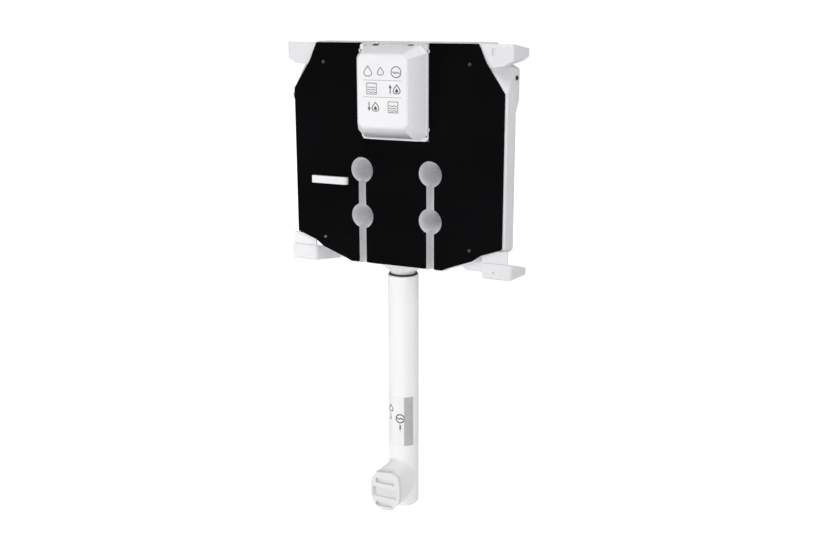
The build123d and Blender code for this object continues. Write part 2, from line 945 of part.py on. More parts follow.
with BuildPart() as inspection_cover:
    with BuildSketch(facing(flange_back_y)) as flange_face:
        Polygon(
            (-cover_half, drop(cover_top_drop)),
            (cover_half, drop(cover_top_drop)),
            (cover_half, drop(cover_bottom_drop - cover_corner)),
            (cover_half - cover_corner_step, drop(cover_bottom_drop - cover_corner_step)),
            (cover_half - 2 * cover_corner_step, drop(cover_bottom_drop)),
            (-(cover_half - 2 * cover_corner_step), drop(cover_bottom_drop)),
            (-(cover_half - cover_corner_step), drop(cover_bottom_drop - cover_corner_step)),
            (-cover_half, drop(cover_bottom_drop - cover_corner)),
            align=None,
        )
        fillet(flange_face.vertices(), cover_round)
        for eyelet_drop in eyelet_drops:
            with Locations((-eyelet_x, drop(eyelet_drop)), (eyelet_x, drop(eyelet_drop))):
                Circle(eyelet_r)
        for eyelet_drop in eyelet_drops:
            with Locations((-eyelet_x, drop(eyelet_drop)), (eyelet_x, drop(eyelet_drop))):
                Circle(eyelet_hole_r, mode=Mode.SUBTRACT)
    extrude(amount=cover_flange)
    add(cover_box(0, flange_back_y))
    plateau_edges = inspection_cover.faces().filter_by(Axis.Y).sort_by(Axis.Y)[0].edges()
    fillet(plateau_edges, cover_wall / 2)
    add(cover_box(cover_wall, flange_back_y), mode=Mode.SUBTRACT)
    with BuildSketch(facing(flange_back_y)):
        for side in (-tab_x, tab_x):
            with Locations((side, drop(clip_slot_drop))):
                Rectangle(clip_slot_width, clip_slot_height)
    extrude(amount=2 * cover_flange, mode=Mode.SUBTRACT)
write(inspection_cover, "inspection_cover")

with BuildPart() as cover_label:
    label_face = cover_section(
        cover_front_y, plateau_half - label_inset, plateau_top_drop + label_inset,
        plateau_bottom_drop - label_inset, label_corner,
    )
    extrude(label_face.face(), amount=label_thick)
write(cover_label, "cover_label")


# Outlet of the tank, from the inside outwards

axis_place = (0, pipe_y)

with BuildPart() as seat_gasket:
    add(ring(axis_place, seat_floor, seat_floor + gasket_thick, gasket_r, spigot_r + slip_gap))
write(seat_gasket, "seat_gasket")

with BuildPart() as valve_seat:
    add(ring(axis_place, seat_floor + gasket_thick, seat_top, gasket_r, seat_mouth_r))
    add(ring(axis_place, seat_top - spigot_length, seat_top - seat_flange, spigot_r, spigot_bore_r))
    fillet(valve_seat.edges().filter_by(GeomType.CIRCLE).sort_by(Axis.Z)[-1], slip_gap * 10)
write(valve_seat, "valve_seat")

with BuildPart() as outlet_washer:
    add(ring(axis_place, nut_top, boss_bottom, washer_r, spigot_r + slip_gap))
write(outlet_washer, "outlet_washer")

with BuildPart() as outlet_nut:
    add(ring(axis_place, nut_top - nut_height, nut_top, nut_r, spigot_r + slip_gap))
    with BuildSketch(Plane.XY.offset(nut_top - nut_height)):
        with Locations(axis_place):
            with PolarLocations(nut_r, cap_flutes):
                Circle(cap_flute_r)
    extrude(amount=nut_height - washer_thick, mode=Mode.SUBTRACT)
write(outlet_nut, "outlet_nut")


# Flush pipe: straight down, a quarter bend to the front, then the socket

pipe_inner_r = pipe_r - pipe_wall
bend_y = pipe_y - bend_r


def pipe_run(outer, inner, top):
    """Pipe of the given radii along the down-and-forward route."""
    with BuildPart() as run:
        with BuildLine(Plane.YZ):
            fall = Line((pipe_y, top), (pipe_y, bend_r))
            turn = TangentArc(fall @ 1, (bend_y, 0), tangent=fall % 1)
            Line(turn @ 1, (socket_length - back_land, 0))
        with BuildSketch(Plane.XY.offset(top)):
            with Locations(axis_place):
                Circle(outer)
                if inner:
                    Circle(inner, mode=Mode.SUBTRACT)
        sweep()
    return run.part


socket_end = socket_length + back_land
socket_r = socket_bore_r + socket_wall

with BuildPart() as flush_pipe:
    add(ring(axis_place, sleeve_joint, pipe_top, pipe_r, pipe_inner_r))
write(flush_pipe, "flush_pipe")

with BuildPart() as bend_form:
    add(pipe_run(pipe_r, pipe_inner_r, sleeve_joint))
    with BuildSketch(facing(0)):
        Circle(socket_r)
    extrude(amount=-(socket_length - back_land))
    with BuildSketch(facing(socket_length - back_land)):
        Circle(socket_r)
    with BuildSketch(facing(socket_end)):
        Circle(pipe_r)
    loft()
    with BuildSketch(facing(0)):
        Circle(socket_bore_r)
    extrude(amount=-(socket_length - 2 * back_land), mode=Mode.SUBTRACT)
    with BuildSketch(facing(0)):
        Circle(pipe_inner_r)
    extrude(amount=-socket_end, mode=Mode.SUBTRACT)
    add(pipe_run(pipe_inner_r, 0, sleeve_joint), mode=Mode.SUBTRACT)
    with BuildSketch(facing(seal_from_mouth)):
        Circle(seal_groove_r)
    extrude(amount=-seal_width, mode=Mode.SUBTRACT)

# the bend, and the socket in front of it, are nodes of their own
with BuildPart() as flush_bend:
    add(bend_form.part)
    split(bisect_by=facing(socket_end), keep=Keep.BOTTOM)
write(flush_bend, "flush_bend")

with BuildPart() as outlet_socket:
    add(bend_form.part)
    split(bisect_by=facing(socket_end), keep=Keep.TOP)
write(outlet_socket, "outlet_socket")

with BuildPart() as outlet_seal:
    with BuildSketch(facing(seal_from_mouth)):
        Circle(seal_groove_r - slip_gap)
        Circle(socket_bore_r, mode=Mode.SUBTRACT)
    extrude(amount=-seal_width)
write(outlet_seal, "outlet_seal")

with BuildPart() as pipe_seal:
    add(ring(
        axis_place, pipe_top - pipe_seal_drop - pipe_seal_width, pipe_top - pipe_seal_drop,
        pipe_inner_r - slip_gap, spigot_r + slip_gap,
    ))
write(pipe_seal, "pipe_seal")


# Insulating sleeve moulded round the pipe and its bend

sleeve_top = nut_top - sleeve_top_gap


def mouth_outline(y, centre, half_width, half_height, rounding):
    """Upright oval of short sides at depth y, for the branch and its cap."""
    points = [
        (centre[0] + half_width * across, centre[1] + half_height * up)
        for across, up in mouth_outline_shares
    ]
    with BuildSketch(facing(y)) as shape:
        Polygon(*points, align=None)
        fillet(shape.vertices(), rounding)
    return shape.sketch


with BuildPart() as pipe_sleeve:
    add(ring(axis_place, sleeve_joint, sleeve_top, sleeve_r, pipe_r + sleeve_gap))
    add(ring(axis_place, sleeve_top - sleeve_pocket, sleeve_top, sleeve_pocket_r), mode=Mode.SUBTRACT)
write(pipe_sleeve, "pipe_sleeve")

with BuildPart() as bend_foam:
    add(ring(axis_place, sleeve_bottom, sleeve_joint, sleeve_r))
    fillet(bend_foam.edges().sort_by(Axis.Z)[0], sleeve_round)
    add(mouth_outline(
        pipe_y, (0, branch_root_z), branch_root_half_width, branch_root_half_height, cap_round,
    ))
    add(mouth_outline(
        branch_waist_y, (cap_x / 2, branch_waist_z),
        branch_waist_half_width, branch_waist_half_height, cap_round,
    ))
    add(mouth_outline(
        branch_face_y, (cap_x, cap_z),
        cap_half_width - branch_inset, cap_half_height - branch_inset, cap_round,
    ))
    loft(ruled=True)
    add(pipe_run(pipe_r + sleeve_gap, 0, sleeve_joint), mode=Mode.SUBTRACT)
    with BuildSketch(facing(0)):
        Circle(socket_r + sleeve_gap)
    extrude(amount=-socket_end, mode=Mode.SUBTRACT)

with BuildPart() as bend_sleeve:
    add(bend_foam.part)
    split(bisect_by=facing(socket_end), keep=Keep.BOTTOM)
write(bend_sleeve, "bend_sleeve")

with BuildPart() as branch_sleeve:
    add(bend_foam.part)
    split(bisect_by=facing(socket_end), keep=Keep.TOP)
write(branch_sleeve, "branch_sleeve")

with BuildPart() as pipe_label:
    with BuildSketch(Plane.XY.offset(pipe_label_bottom)):
        with BuildLine():
            inner_arc = CenterArc(
                axis_place, sleeve_r + slip_gap,
                pipe_label_turn - pipe_label_sweep / 2, pipe_label_sweep,
            )
            outer_arc = CenterArc(
                axis_place, sleeve_r + pipe_label_thick,
                pipe_label_turn - pipe_label_sweep / 2, pipe_label_sweep,
            )
            Line(inner_arc @ 0, outer_arc @ 0)
            Line(inner_arc @ 1, outer_arc @ 1)
        make_face()
    extrude(amount=pipe_label_top - pipe_label_bottom)
write(pipe_label, "pipe_label")

with BuildPart() as outlet_cap:
    cap_back_y = branch_face_y - fit_gap
    cap_face = mouth_outline(
        cap_back_y, (cap_x, cap_z), cap_half_width, cap_half_height, cap_round,
    ).face()
    extrude(cap_face, amount=cap_back_y - cap_front_y)
    chamfer(outlet_cap.faces().sort_by(Axis.Y)[0].edges(), cap_edge)
    with BuildSketch(facing(cap_front_y)):
        for across, up, wide, high in cap_pocket_shares:
            with Locations((cap_x + across * cap_half_width, cap_z + up * cap_half_height)):
                RectangleRounded(
                    2 * wide * cap_half_width, 2 * high * cap_half_height, cap_edge
                )
    extrude(amount=-cap_pocket, mode=Mode.SUBTRACT)
    with BuildSketch(facing(-fit_gap)):
        Circle(socket_r + fit_gap)
    extrude(amount=-(cap_back_y + fit_gap), mode=Mode.SUBTRACT)
write(outlet_cap, "outlet_cap")


# Flush valve: bell and overflow tube in a basket

bell_bottom = seat_top + fit_gap + bell_seal_thick
window_bottom = seat_top + basket_base
head_bottom = window_bottom + basket_window
yoke_bottom = tube_top - yoke_collar_drop

with BuildPart() as overflow_tube:
    add(ring(axis_place, bell_bottom, bell_bottom + bell_flange, bell_r))
    fillet(overflow_tube.edges().sort_by(Axis.Z)[-1], bell_flange / 2)
    add(ring(axis_place, bell_bottom, tube_top, tube_r))
    with BuildSketch(Plane.XY.offset(bell_bottom)):
        with Locations(axis_place):
            Circle(tube_bore_r)
    extrude(amount=tube_top - bell_bottom, mode=Mode.SUBTRACT)
write(overflow_tube, "overflow_tube")

with BuildPart() as bell_seal:
    add(ring(axis_place, seat_top + fit_gap, bell_bottom, bell_r, tube_bore_r))
write(bell_seal, "bell_seal")

with BuildPart() as flush_basket:
    add(ring(axis_place, seat_top, window_bottom, basket_r, basket_bore_r))
    add(ring(axis_place, head_bottom, head_bottom + basket_head, basket_r, tube_r + running_gap))
    with BuildSketch(Plane.XY.offset(window_bottom)):
        with Locations(axis_place):
            with PolarLocations((basket_r + basket_bore_r) / 2, basket_posts, start_angle=90):
                Rectangle(basket_r - basket_bore_r - slip_gap, basket_post)
    extrude(amount=basket_window)
    with BuildSketch(Plane.XY.offset(head_bottom + basket_head)):
        with Locations((-tower_x, pipe_y), (tower_x, pipe_y)):
            Rectangle(tower_width, tower_depth)
    extrude(amount=tower_top - head_bottom - basket_head)
    add(ring(axis_place, tower_top, tower_top + tower_ring, tower_ring_r + tower_width / 2))
    with BuildSketch(Plane.XY.offset(tower_top)):
        link((0, pipe_y), (half_rod_x, tip_y), guide_arm_width / 2)
        with Locations((half_rod_x, tip_y)):
            Circle(guide_eye_r)
    extrude(amount=tower_ring)
    with BuildSketch(Plane.XY.offset(tower_top)):
        with Locations(axis_place):
            Circle(tube_r + running_gap)
        with Locations((half_rod_x, tip_y)):
            Circle(half_rod_r + running_gap)
    extrude(amount=tower_ring, mode=Mode.SUBTRACT)
write(flush_basket, "flush_basket")


# Flush levers: cranks that swing on short axles behind the hatch


def flush_lever(x):
    """Crank with a lifting arm to the back and a push arm downwards."""
    with BuildPart() as lever:
        with BuildSketch(Plane.YZ.offset(x - lever_thick / 2)):
            link((lever_pivot_y, lever_pivot_z), (tip_y, tip_z), lever_arm_r)
            link((lever_pivot_y, lever_pivot_z), (lever_pivot_y, push_z), lever_arm_r)
            with Locations((tip_y, tip_z)):
                Circle(lever_nose_r)
            with Locations((lever_pivot_y, lever_pivot_z)):
                Circle(lever_hub_r)
            with Locations((lever_pivot_y, push_z)):
                Circle(lever_push_r)
        extrude(amount=lever_thick)
        with BuildSketch(Plane.YZ.offset(x - lever_thick / 2)):
            with Locations((lever_pivot_y, lever_pivot_z)):
                Circle(axle_r + running_gap)
        extrude(amount=lever_thick, mode=Mode.SUBTRACT)
    return lever.part


with BuildPart() as full_flush_lever:
    add(flush_lever(-lever_x))
write(full_flush_lever, "full_flush_lever")

with BuildPart() as half_flush_lever:
    add(flush_lever(lever_x))
write(half_flush_lever, "half_flush_lever")

cheek_offset = lever_thick / 2 + cheek_gap / 2 + cheek_thick / 2
bar_z = lever_pivot_z + bracket_bar_rise
bar_y = tank_front + tank_wall

with BuildPart() as lever_bracket:
    with BuildSketch(facing(bar_y)):
        with Locations((0, bar_z + bracket_bar_height / 2)):
            Rectangle(2 * bracket_bar_half, bracket_bar_height)
    extrude(amount=-bracket_bar_thick)
    for side in (-lever_x, lever_x):
        for offset_x in (-cheek_offset, cheek_offset):
            with BuildSketch(Plane.YZ.offset(side + offset_x - cheek_thick / 2)):
                Polygon(
                    (bar_y, bar_z + bracket_bar_height),
                    (bar_y, bar_z),
                    (bar_y, lever_pivot_z - cheek_back),
                    (lever_pivot_y + cheek_back, lever_pivot_z - cheek_back),
                    (lever_pivot_y + cheek_back, lever_pivot_z + cheek_back),
                    (bar_y + bracket_bar_thick, bar_z + bracket_bar_height),
                    align=None,
                )
            extrude(amount=cheek_thick)
            with BuildSketch(Plane.YZ.offset(side + offset_x - cheek_thick / 2)):
                with Locations((lever_pivot_y, lever_pivot_z)):
                    Circle(axle_r + slip_gap)
            extrude(amount=cheek_thick, mode=Mode.SUBTRACT)
write(lever_bracket, "lever_bracket")

with BuildPart() as lever_axles:
    for side in (-lever_x, lever_x):
        reach = cheek_offset + cheek_thick / 2 + fit_gap
        add(cross_ring(lever_pivot_y, lever_pivot_z, side - reach, side + reach, axle_r))
write(lever_axles, "lever_axles")

with BuildPart() as lift_yoke:
    add(ring(axis_place, yoke_bottom, yoke_bottom + yoke_collar, yoke_collar_r, tube_r + slip_gap))
    strap_y = pipe_y + (yoke_collar_r + tube_r) / 2
    with BuildSketch(Plane.XY.offset(yoke_bottom)):
        with Locations((0, strap_y)):
            Rectangle(strap_width, strap_thick)
    extrude(amount=lift_z + yoke_bar - yoke_bottom)
    with BuildSketch(Plane.XY.offset(lift_z)):
        left = -(lever_x + lever_thick / 2)
        with Locations(((left + strap_width / 2) / 2, tip_y)):
            Rectangle(strap_width / 2 - left, yoke_bar_depth)
    extrude(amount=yoke_bar)
    with BuildSketch(Plane.XY.offset(yoke_bottom)):
        with Locations(axis_place):
            Circle(tube_r + slip_gap)
    extrude(amount=yoke_collar, mode=Mode.SUBTRACT)
write(lift_yoke, "lift_yoke")

with BuildPart() as half_flush_rod:
    add(ring((half_rod_x, tip_y), half_rod_bottom, lift_z + half_head, half_rod_r))
    with BuildSketch(Plane.XY.offset(lift_z)):
        head_left = lever_x - lever_thick / 2
        head_right = half_rod_x + half_rod_r
        with Locations(((head_left + head_right) / 2, tip_y)):
            RectangleRounded(head_right - head_left, yoke_bar_depth, half_rod_r)
    extrude(amount=half_head)
write(half_flush_rod, "half_flush_rod")

with BuildPart() as half_flush_float:
    add(ring(
        (half_rod_x, tip_y), half_float_bottom, half_float_bottom + half_float_height,
        half_float_r, half_rod_r + slip_gap,
    ))
    fillet(half_flush_float.edges().filter_by(GeomType.CIRCLE).group_by(SortBy.RADIUS)[-1], back_land)
write(half_flush_float, "half_flush_float")


# Water inlet, stop valve and supply tube in a line through the left side wall

wall_out = -tank_side
wall_in = wall_out + tank_wall
flange_left = wall_in + inlet_gasket_thick
flange_right = flange_left + inlet_flange

with BuildPart() as inlet_gasket:
    add(cross_ring(inlet_y, inlet_z, wall_in, flange_left, inlet_flange_r, inlet_r))
write(inlet_gasket, "inlet_gasket")

with BuildPart() as inlet_fitting:
    relief_left = wall_out - inlet_nut_thick - fit_gap
    add(cross_ring(inlet_y, inlet_z, wall_out - inlet_reach, relief_left, inlet_r))
    add(cross_ring(inlet_y, inlet_z, relief_left, flange_left, inlet_r - thread_relief))
    add(cross_ring(inlet_y, inlet_z, flange_left, flange_right, inlet_flange_r))
    with BuildSketch(Plane.YZ.offset(wall_out - inlet_reach)):
        with Locations((inlet_y, inlet_z)):
            Circle(inlet_bore_r)
    extrude(amount=inlet_reach + tank_wall + inlet_gasket_thick + inlet_flange, mode=Mode.SUBTRACT)
write(inlet_fitting, "inlet_fitting")


def hex_nut(y, z, left, length, flats_half, bore):
    """Hexagon nut that lies along X."""
    with BuildPart() as nut:
        with BuildSketch(Plane.YZ.offset(left)):
            with Locations((y, z)):
                RegularPolygon(flats_half, 6, major_radius=False)
                Circle(bore, mode=Mode.SUBTRACT)
        extrude(amount=length)
    return nut.part


with BuildPart() as inlet_nut:
    nut_left = wall_out - inlet_nut_thick
    nut_bore = inlet_r - thread_relief + slip_gap
    add(hex_nut(inlet_y, inlet_z, nut_left, inlet_nut_thick, inlet_nut_flats, nut_bore))
write(inlet_nut, "inlet_nut")

stop_right = flange_right + stop_length
stop_mid = (flange_right + stop_right) / 2
handle_z = inlet_z + stop_r + stop_bonnet

with BuildPart() as stop_valve:
    add(cross_ring(inlet_y, inlet_z, flange_right, stop_right, stop_r))
    add(ring((stop_mid, inlet_y), inlet_z, handle_z, stop_bonnet_r))
    chamfer(stop_valve.edges().group_by(Axis.X)[-1], stop_ring / 2)
    with BuildSketch(Plane.YZ.offset(flange_right)):
        with Locations((inlet_y, inlet_z)):
            Circle(inlet_bore_r)
    extrude(amount=stop_ring, mode=Mode.SUBTRACT)
    with BuildSketch(Plane.YZ.offset(stop_right)):
        with Locations((inlet_y, inlet_z)):
            Circle(supply_r + slip_gap)
    extrude(amount=-stop_ring, mode=Mode.SUBTRACT)
    with BuildSketch(Plane.XY.offset(handle_z)):
        with Locations((stop_mid, inlet_y)):
            Circle(handle_stem_r)
    extrude(amount=handle_thick + fit_gap)
write(stop_valve, "stop_valve")

with BuildPart() as stop_handle:
    with BuildSketch(Plane.XY.offset(handle_z + fit_gap)):
        with Locations((stop_mid, inlet_y)):
            Circle(handle_hub_r)
        with Locations((stop_mid + handle_length / 2, inlet_y)):
            SlotOverall(handle_length + handle_width, handle_width)
        with Locations((stop_mid, inlet_y)):
            Circle(handle_stem_r + running_gap, mode=Mode.SUBTRACT)
    extrude(amount=handle_thick)
    fillet(stop_handle.edges().group_by(Axis.Z)[-1].filter_by(GeomType.LINE), handle_thick / 4)
write(stop_handle, "stop_handle")

supply_left = stop_right - stop_ring
supply_right = stop_right + supply_length

with BuildPart() as handle_screw:
    screw_bottom = handle_z + handle_thick + 2 * fit_gap
    add(ring((stop_mid, inlet_y), screw_bottom, screw_bottom + handle_screw_head, handle_screw_r))
    add(ring((stop_mid, inlet_y), handle_z + handle_thick + fit_gap, screw_bottom, handle_stem_r))
write(handle_screw, "handle_screw")

with BuildPart() as supply_tube:
    add(cross_ring(inlet_y, inlet_z, supply_left, supply_right, supply_r, supply_r - supply_wall))
write(supply_tube, "supply_tube")

with BuildPart() as supply_nuts:
    for left in (stop_right, supply_right - 2 * supply_nut_length):
        add(hex_nut(inlet_y, inlet_z, left, supply_nut_length, supply_nut_flats, supply_r + slip_gap))
write(supply_nuts, "supply_nuts")


# Fill valve

fill_place = (fill_x, inlet_y)
head_bottom_z = inlet_z - head_height / 2
head_top_z = inlet_z + head_height / 2
port_left = supply_right - supply_nut_length

with BuildPart() as fill_valve_body:
    add(ring(fill_place, head_bottom_z, head_top_z, head_r))
    fillet(fill_valve_body.edges().group_by(Axis.Z)[0], back_land)
    add(cross_ring(inlet_y, inlet_z, port_left, fill_x, port_r))
    with BuildSketch(Plane.YZ.offset(port_left)):
        with Locations((inlet_y, inlet_z)):
            Circle(supply_r + slip_gap)
    extrude(amount=supply_nut_length, mode=Mode.SUBTRACT)
write(fill_valve_body, "fill_valve_body")

with BuildPart() as fill_tube:
    tube_bottom = head_bottom_z - fill_tube_length
    add(ring(fill_place, tube_bottom, head_bottom_z, fill_tube_r, fill_tube_bore_r))
write(fill_tube, "fill_tube")

cap_top_z = head_top_z + cap_ring
pivot_z = cap_top_z + fork_rise
fork_half = float_lever_width / 2 + fork_gap

with BuildPart() as fill_valve_cap:
    add(ring(fill_place, head_top_z, cap_top_z, cap_ring_r))
    with BuildSketch(Plane.XY.offset(head_top_z)):
        with Locations(fill_place):
            with PolarLocations(cap_ring_r, cap_flutes):
                Circle(cap_flute_r)
    extrude(amount=cap_ring, mode=Mode.SUBTRACT)
    for side in (-1, 1):
        cheek_mid = inlet_y + side * (fork_half + fork_cheek / 2)
        with BuildSketch(facing(cheek_mid + fork_cheek / 2)):
            link((float_lever_x, cap_top_z - back_land), (float_lever_x, pivot_z), fork_round)
            with Locations((float_lever_x, cap_top_z - fork_width)):
                Rectangle(2 * fork_width, 2 * fork_width - back_land, mode=Mode.SUBTRACT)
            with Locations((float_lever_x, pivot_z)):
                Circle(lever_pin_r + slip_gap, mode=Mode.SUBTRACT)
        extrude(amount=fork_cheek)
    with BuildSketch(Plane.XY.offset(cap_top_z)):
        with Locations(fill_place):
            Circle(pilot_r + running_gap)
    extrude(amount=-cap_ring, mode=Mode.SUBTRACT)
write(fill_valve_cap, "fill_valve_cap")

with BuildPart() as lever_pin:
    pin_reach = fork_half + fork_cheek + fit_gap
    with BuildSketch(facing(inlet_y + pin_reach)):
        with Locations((float_lever_x, pivot_z)):
            Circle(lever_pin_r)
    extrude(amount=2 * pin_reach)
write(lever_pin, "lever_pin")

with BuildPart() as pilot_pin:
    add(ring(fill_place, head_top_z, pivot_z - float_lever_thick / 2 - pilot_gap, pilot_r))
write(pilot_pin, "pilot_pin")

rod_x = float_lever_x + float_arm
slot_mid = rod_x + float_slot_length / 2 - float_slot_back
lever_end = rod_x + float_slot_length

with BuildPart() as float_lever:
    with BuildSketch(Plane.XY.offset(pivot_z - float_lever_thick / 2)):
        with Locations(((float_lever_x + lever_end) / 2, inlet_y)):
            Rectangle(lever_end - float_lever_x, float_lever_width)
        with Locations((slot_mid, inlet_y)):
            Rectangle(float_slot_length + 2 * back_land, float_lever_end)
            Rectangle(float_slot_length, float_slot_width, mode=Mode.SUBTRACT)
    extrude(amount=float_lever_thick)
    with BuildSketch(facing(inlet_y + float_lever_width / 2)):
        with Locations((float_lever_x, pivot_z)):
            Circle(fork_round)
    extrude(amount=float_lever_width)
    with BuildSketch(facing(inlet_y + float_lever_width / 2)):
        with Locations((float_lever_x, pivot_z)):
            Circle(lever_pin_r + running_gap)
    extrude(amount=float_lever_width, mode=Mode.SUBTRACT)
write(float_lever, "float_lever")

float_top = float_bottom + float_height
collar_top = pivot_z - float_lever_thick / 2 - float_collar_gap

with BuildPart() as float_rod:
    add(ring((rod_x, inlet_y), float_top, pivot_z + float_rod_over, float_rod_r))
    add(ring((rod_x, inlet_y), collar_top - float_collar, collar_top, float_collar_r))
write(float_rod, "float_rod")

float_front = tank_front + tank_wall + float_front_gap
float_back = lower_back - tank_wall - float_back_gap

with BuildPart() as water_float:
    with BuildSketch(Plane.XY.offset(float_bottom)):
        with Locations(((float_left + float_right) / 2, (float_front + float_back) / 2)):
            RectangleRounded(float_right - float_left, float_back - float_front, float_round)
        with Locations(fill_place):
            Circle(fill_tube_r + float_clear, mode=Mode.SUBTRACT)
    extrude(amount=float_height)
write(water_float, "water_float")
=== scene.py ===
import json
import math

import bmesh
import bpy
from mathutils import Matrix, Vector


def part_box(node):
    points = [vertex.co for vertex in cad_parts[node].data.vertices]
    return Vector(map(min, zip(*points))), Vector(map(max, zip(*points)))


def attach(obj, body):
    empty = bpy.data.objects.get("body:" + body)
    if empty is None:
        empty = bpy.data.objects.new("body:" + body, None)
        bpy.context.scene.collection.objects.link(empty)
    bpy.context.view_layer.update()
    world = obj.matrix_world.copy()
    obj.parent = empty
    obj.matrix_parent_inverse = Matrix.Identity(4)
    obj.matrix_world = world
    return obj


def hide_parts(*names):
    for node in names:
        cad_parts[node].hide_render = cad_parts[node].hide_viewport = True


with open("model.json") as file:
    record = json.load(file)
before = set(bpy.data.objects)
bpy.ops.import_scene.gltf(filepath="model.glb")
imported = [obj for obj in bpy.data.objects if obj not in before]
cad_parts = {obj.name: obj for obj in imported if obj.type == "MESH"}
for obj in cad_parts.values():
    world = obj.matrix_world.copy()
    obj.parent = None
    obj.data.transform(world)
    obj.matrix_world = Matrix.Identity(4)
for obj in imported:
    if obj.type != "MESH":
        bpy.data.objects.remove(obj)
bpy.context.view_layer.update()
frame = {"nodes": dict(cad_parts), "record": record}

# Slim toilet cistern for building into a wall: its looks, in the frame's metres.

scene = bpy.context.scene
scene.view_settings.view_transform = "Standard"
MM = 0.001
FULL_TURN = 2 * math.pi


# Camera and studio

IMAGE_WIDTH = 840
FOCAL_PIXELS = 1009.0
SHIFT_PIXELS = 0.5
SENSOR_WIDTH = 36.0
SIGHT = 60.0
CAMERA_PLACE = (0.7754, -1.5333, 0.8505)
CAMERA_YAW = math.radians(24.8)
CAMERA_PITCH = math.radians(14.0)

camera_data = bpy.data.cameras.new("camera")
camera_data.sensor_fit = "HORIZONTAL"
camera_data.sensor_width = SENSOR_WIDTH
camera_data.lens = SENSOR_WIDTH * FOCAL_PIXELS / IMAGE_WIDTH
camera_data.shift_x = SHIFT_PIXELS / IMAGE_WIDTH
camera_data.clip_end = SIGHT
camera = bpy.data.objects.new("camera", camera_data)
scene.collection.objects.link(camera)
looking = Vector((
    -math.sin(CAMERA_YAW) * math.cos(CAMERA_PITCH),
    math.cos(CAMERA_YAW) * math.cos(CAMERA_PITCH),
    -math.sin(CAMERA_PITCH),
))
camera.location = CAMERA_PLACE
camera.rotation_mode = "QUATERNION"
camera.rotation_quaternion = looking.to_track_quat("-Z", "Y")
scene.camera = camera


def area_light(name, place, target, side, power):
    """A square soft light that faces its target."""
    light = bpy.data.lights.new(name, "AREA")
    light.shape = "RECTANGLE"
    light.size = side
    light.size_y = side
    light.energy = power
    holder = bpy.data.objects.new(name, light)
    holder.location = place
    holder.rotation_mode = "QUATERNION"
    holder.rotation_quaternion = (Vector(target) - Vector(place)).to_track_quat("-Z", "Y")
    scene.collection.objects.link(holder)


area_light("low_left_light", place=(-1.4, -1.5, -0.1), target=(0.0, 0.05, 0.2), side=1.0, power=27)
area_light("front_light", place=(0.5, -3.2, 0.9), target=(0.0, 0.05, 0.45), side=2.0, power=17)
area_light("right_light", place=(3.0, -0.6, 0.9), target=(0.0, 0.05, 0.5), side=1.6, power=34)
area_light("top_light", place=(0.0, -0.6, 3.0), target=(0.0, 0.05, 0.5), side=2.0, power=44)
area_light("high_right_light", place=(1.5, -0.4, 2.0), target=(0.1, 0.05, 0.6), side=1.2, power=6)

WHITE = (1.0, 1.0, 1.0, 1.0)
FLOOR_COLOUR = (0.95, 0.95, 0.95, 1.0)
FLOOR_ROUGHNESS = 0.9
FLOOR_Z = -0.35
FLOOR_HALF = 12


def strength_where(tree, socket, lit, seen):
    """Gives a strength one value for the light it throws and another for what the camera sees."""
    light_path = tree.nodes.new("ShaderNodeLightPath")
    choice = tree.nodes.new("ShaderNodeMapRange")
    choice.inputs["To Min"].default_value = lit
    choice.inputs["To Max"].default_value = seen
    tree.links.new(light_path.outputs["Is Camera Ray"], choice.inputs["Value"])
    tree.links.new(choice.outputs["Result"], socket)


def node_material(name):
    material = bpy.data.materials.new(name)
    material.use_nodes = True
    tree = material.node_tree
    return material, tree, tree.nodes["Principled BSDF"]


world = bpy.data.worlds.new("studio")
world.use_nodes = True
background = world.node_tree.nodes["Background"]
background.inputs["Color"].default_value = WHITE
strength_where(world.node_tree, background.inputs["Strength"], lit=0.05, seen=1.0)
scene.world = world

floor_material, floor_tree, floor_shader = node_material("studio_floor")
floor_shader.inputs["Base Color"].default_value = FLOOR_COLOUR
floor_shader.inputs["Roughness"].default_value = FLOOR_ROUGHNESS
floor_shader.inputs["Emission Color"].default_value = WHITE
strength_where(floor_tree, floor_shader.inputs["Emission Strength"], lit=0.08, seen=1.2)
floor_corners = [
    (across * FLOOR_HALF, along * FLOOR_HALF, FLOOR_Z)
    for across, along in ((-1, -1), (1, -1), (1, 1), (-1, 1))
]
floor_mesh = bpy.data.meshes.new("floor")
floor_mesh.from_pydata(floor_corners, [], [(0, 1, 2, 3)])
floor_mesh.materials.append(floor_material)
floor = bpy.data.objects.new("floor", floor_mesh)
scene.collection.objects.link(floor)


# Materials

BEVEL_SAMPLES = 4
RAMP_START = 0.35
RAMP_STOP = 0.65


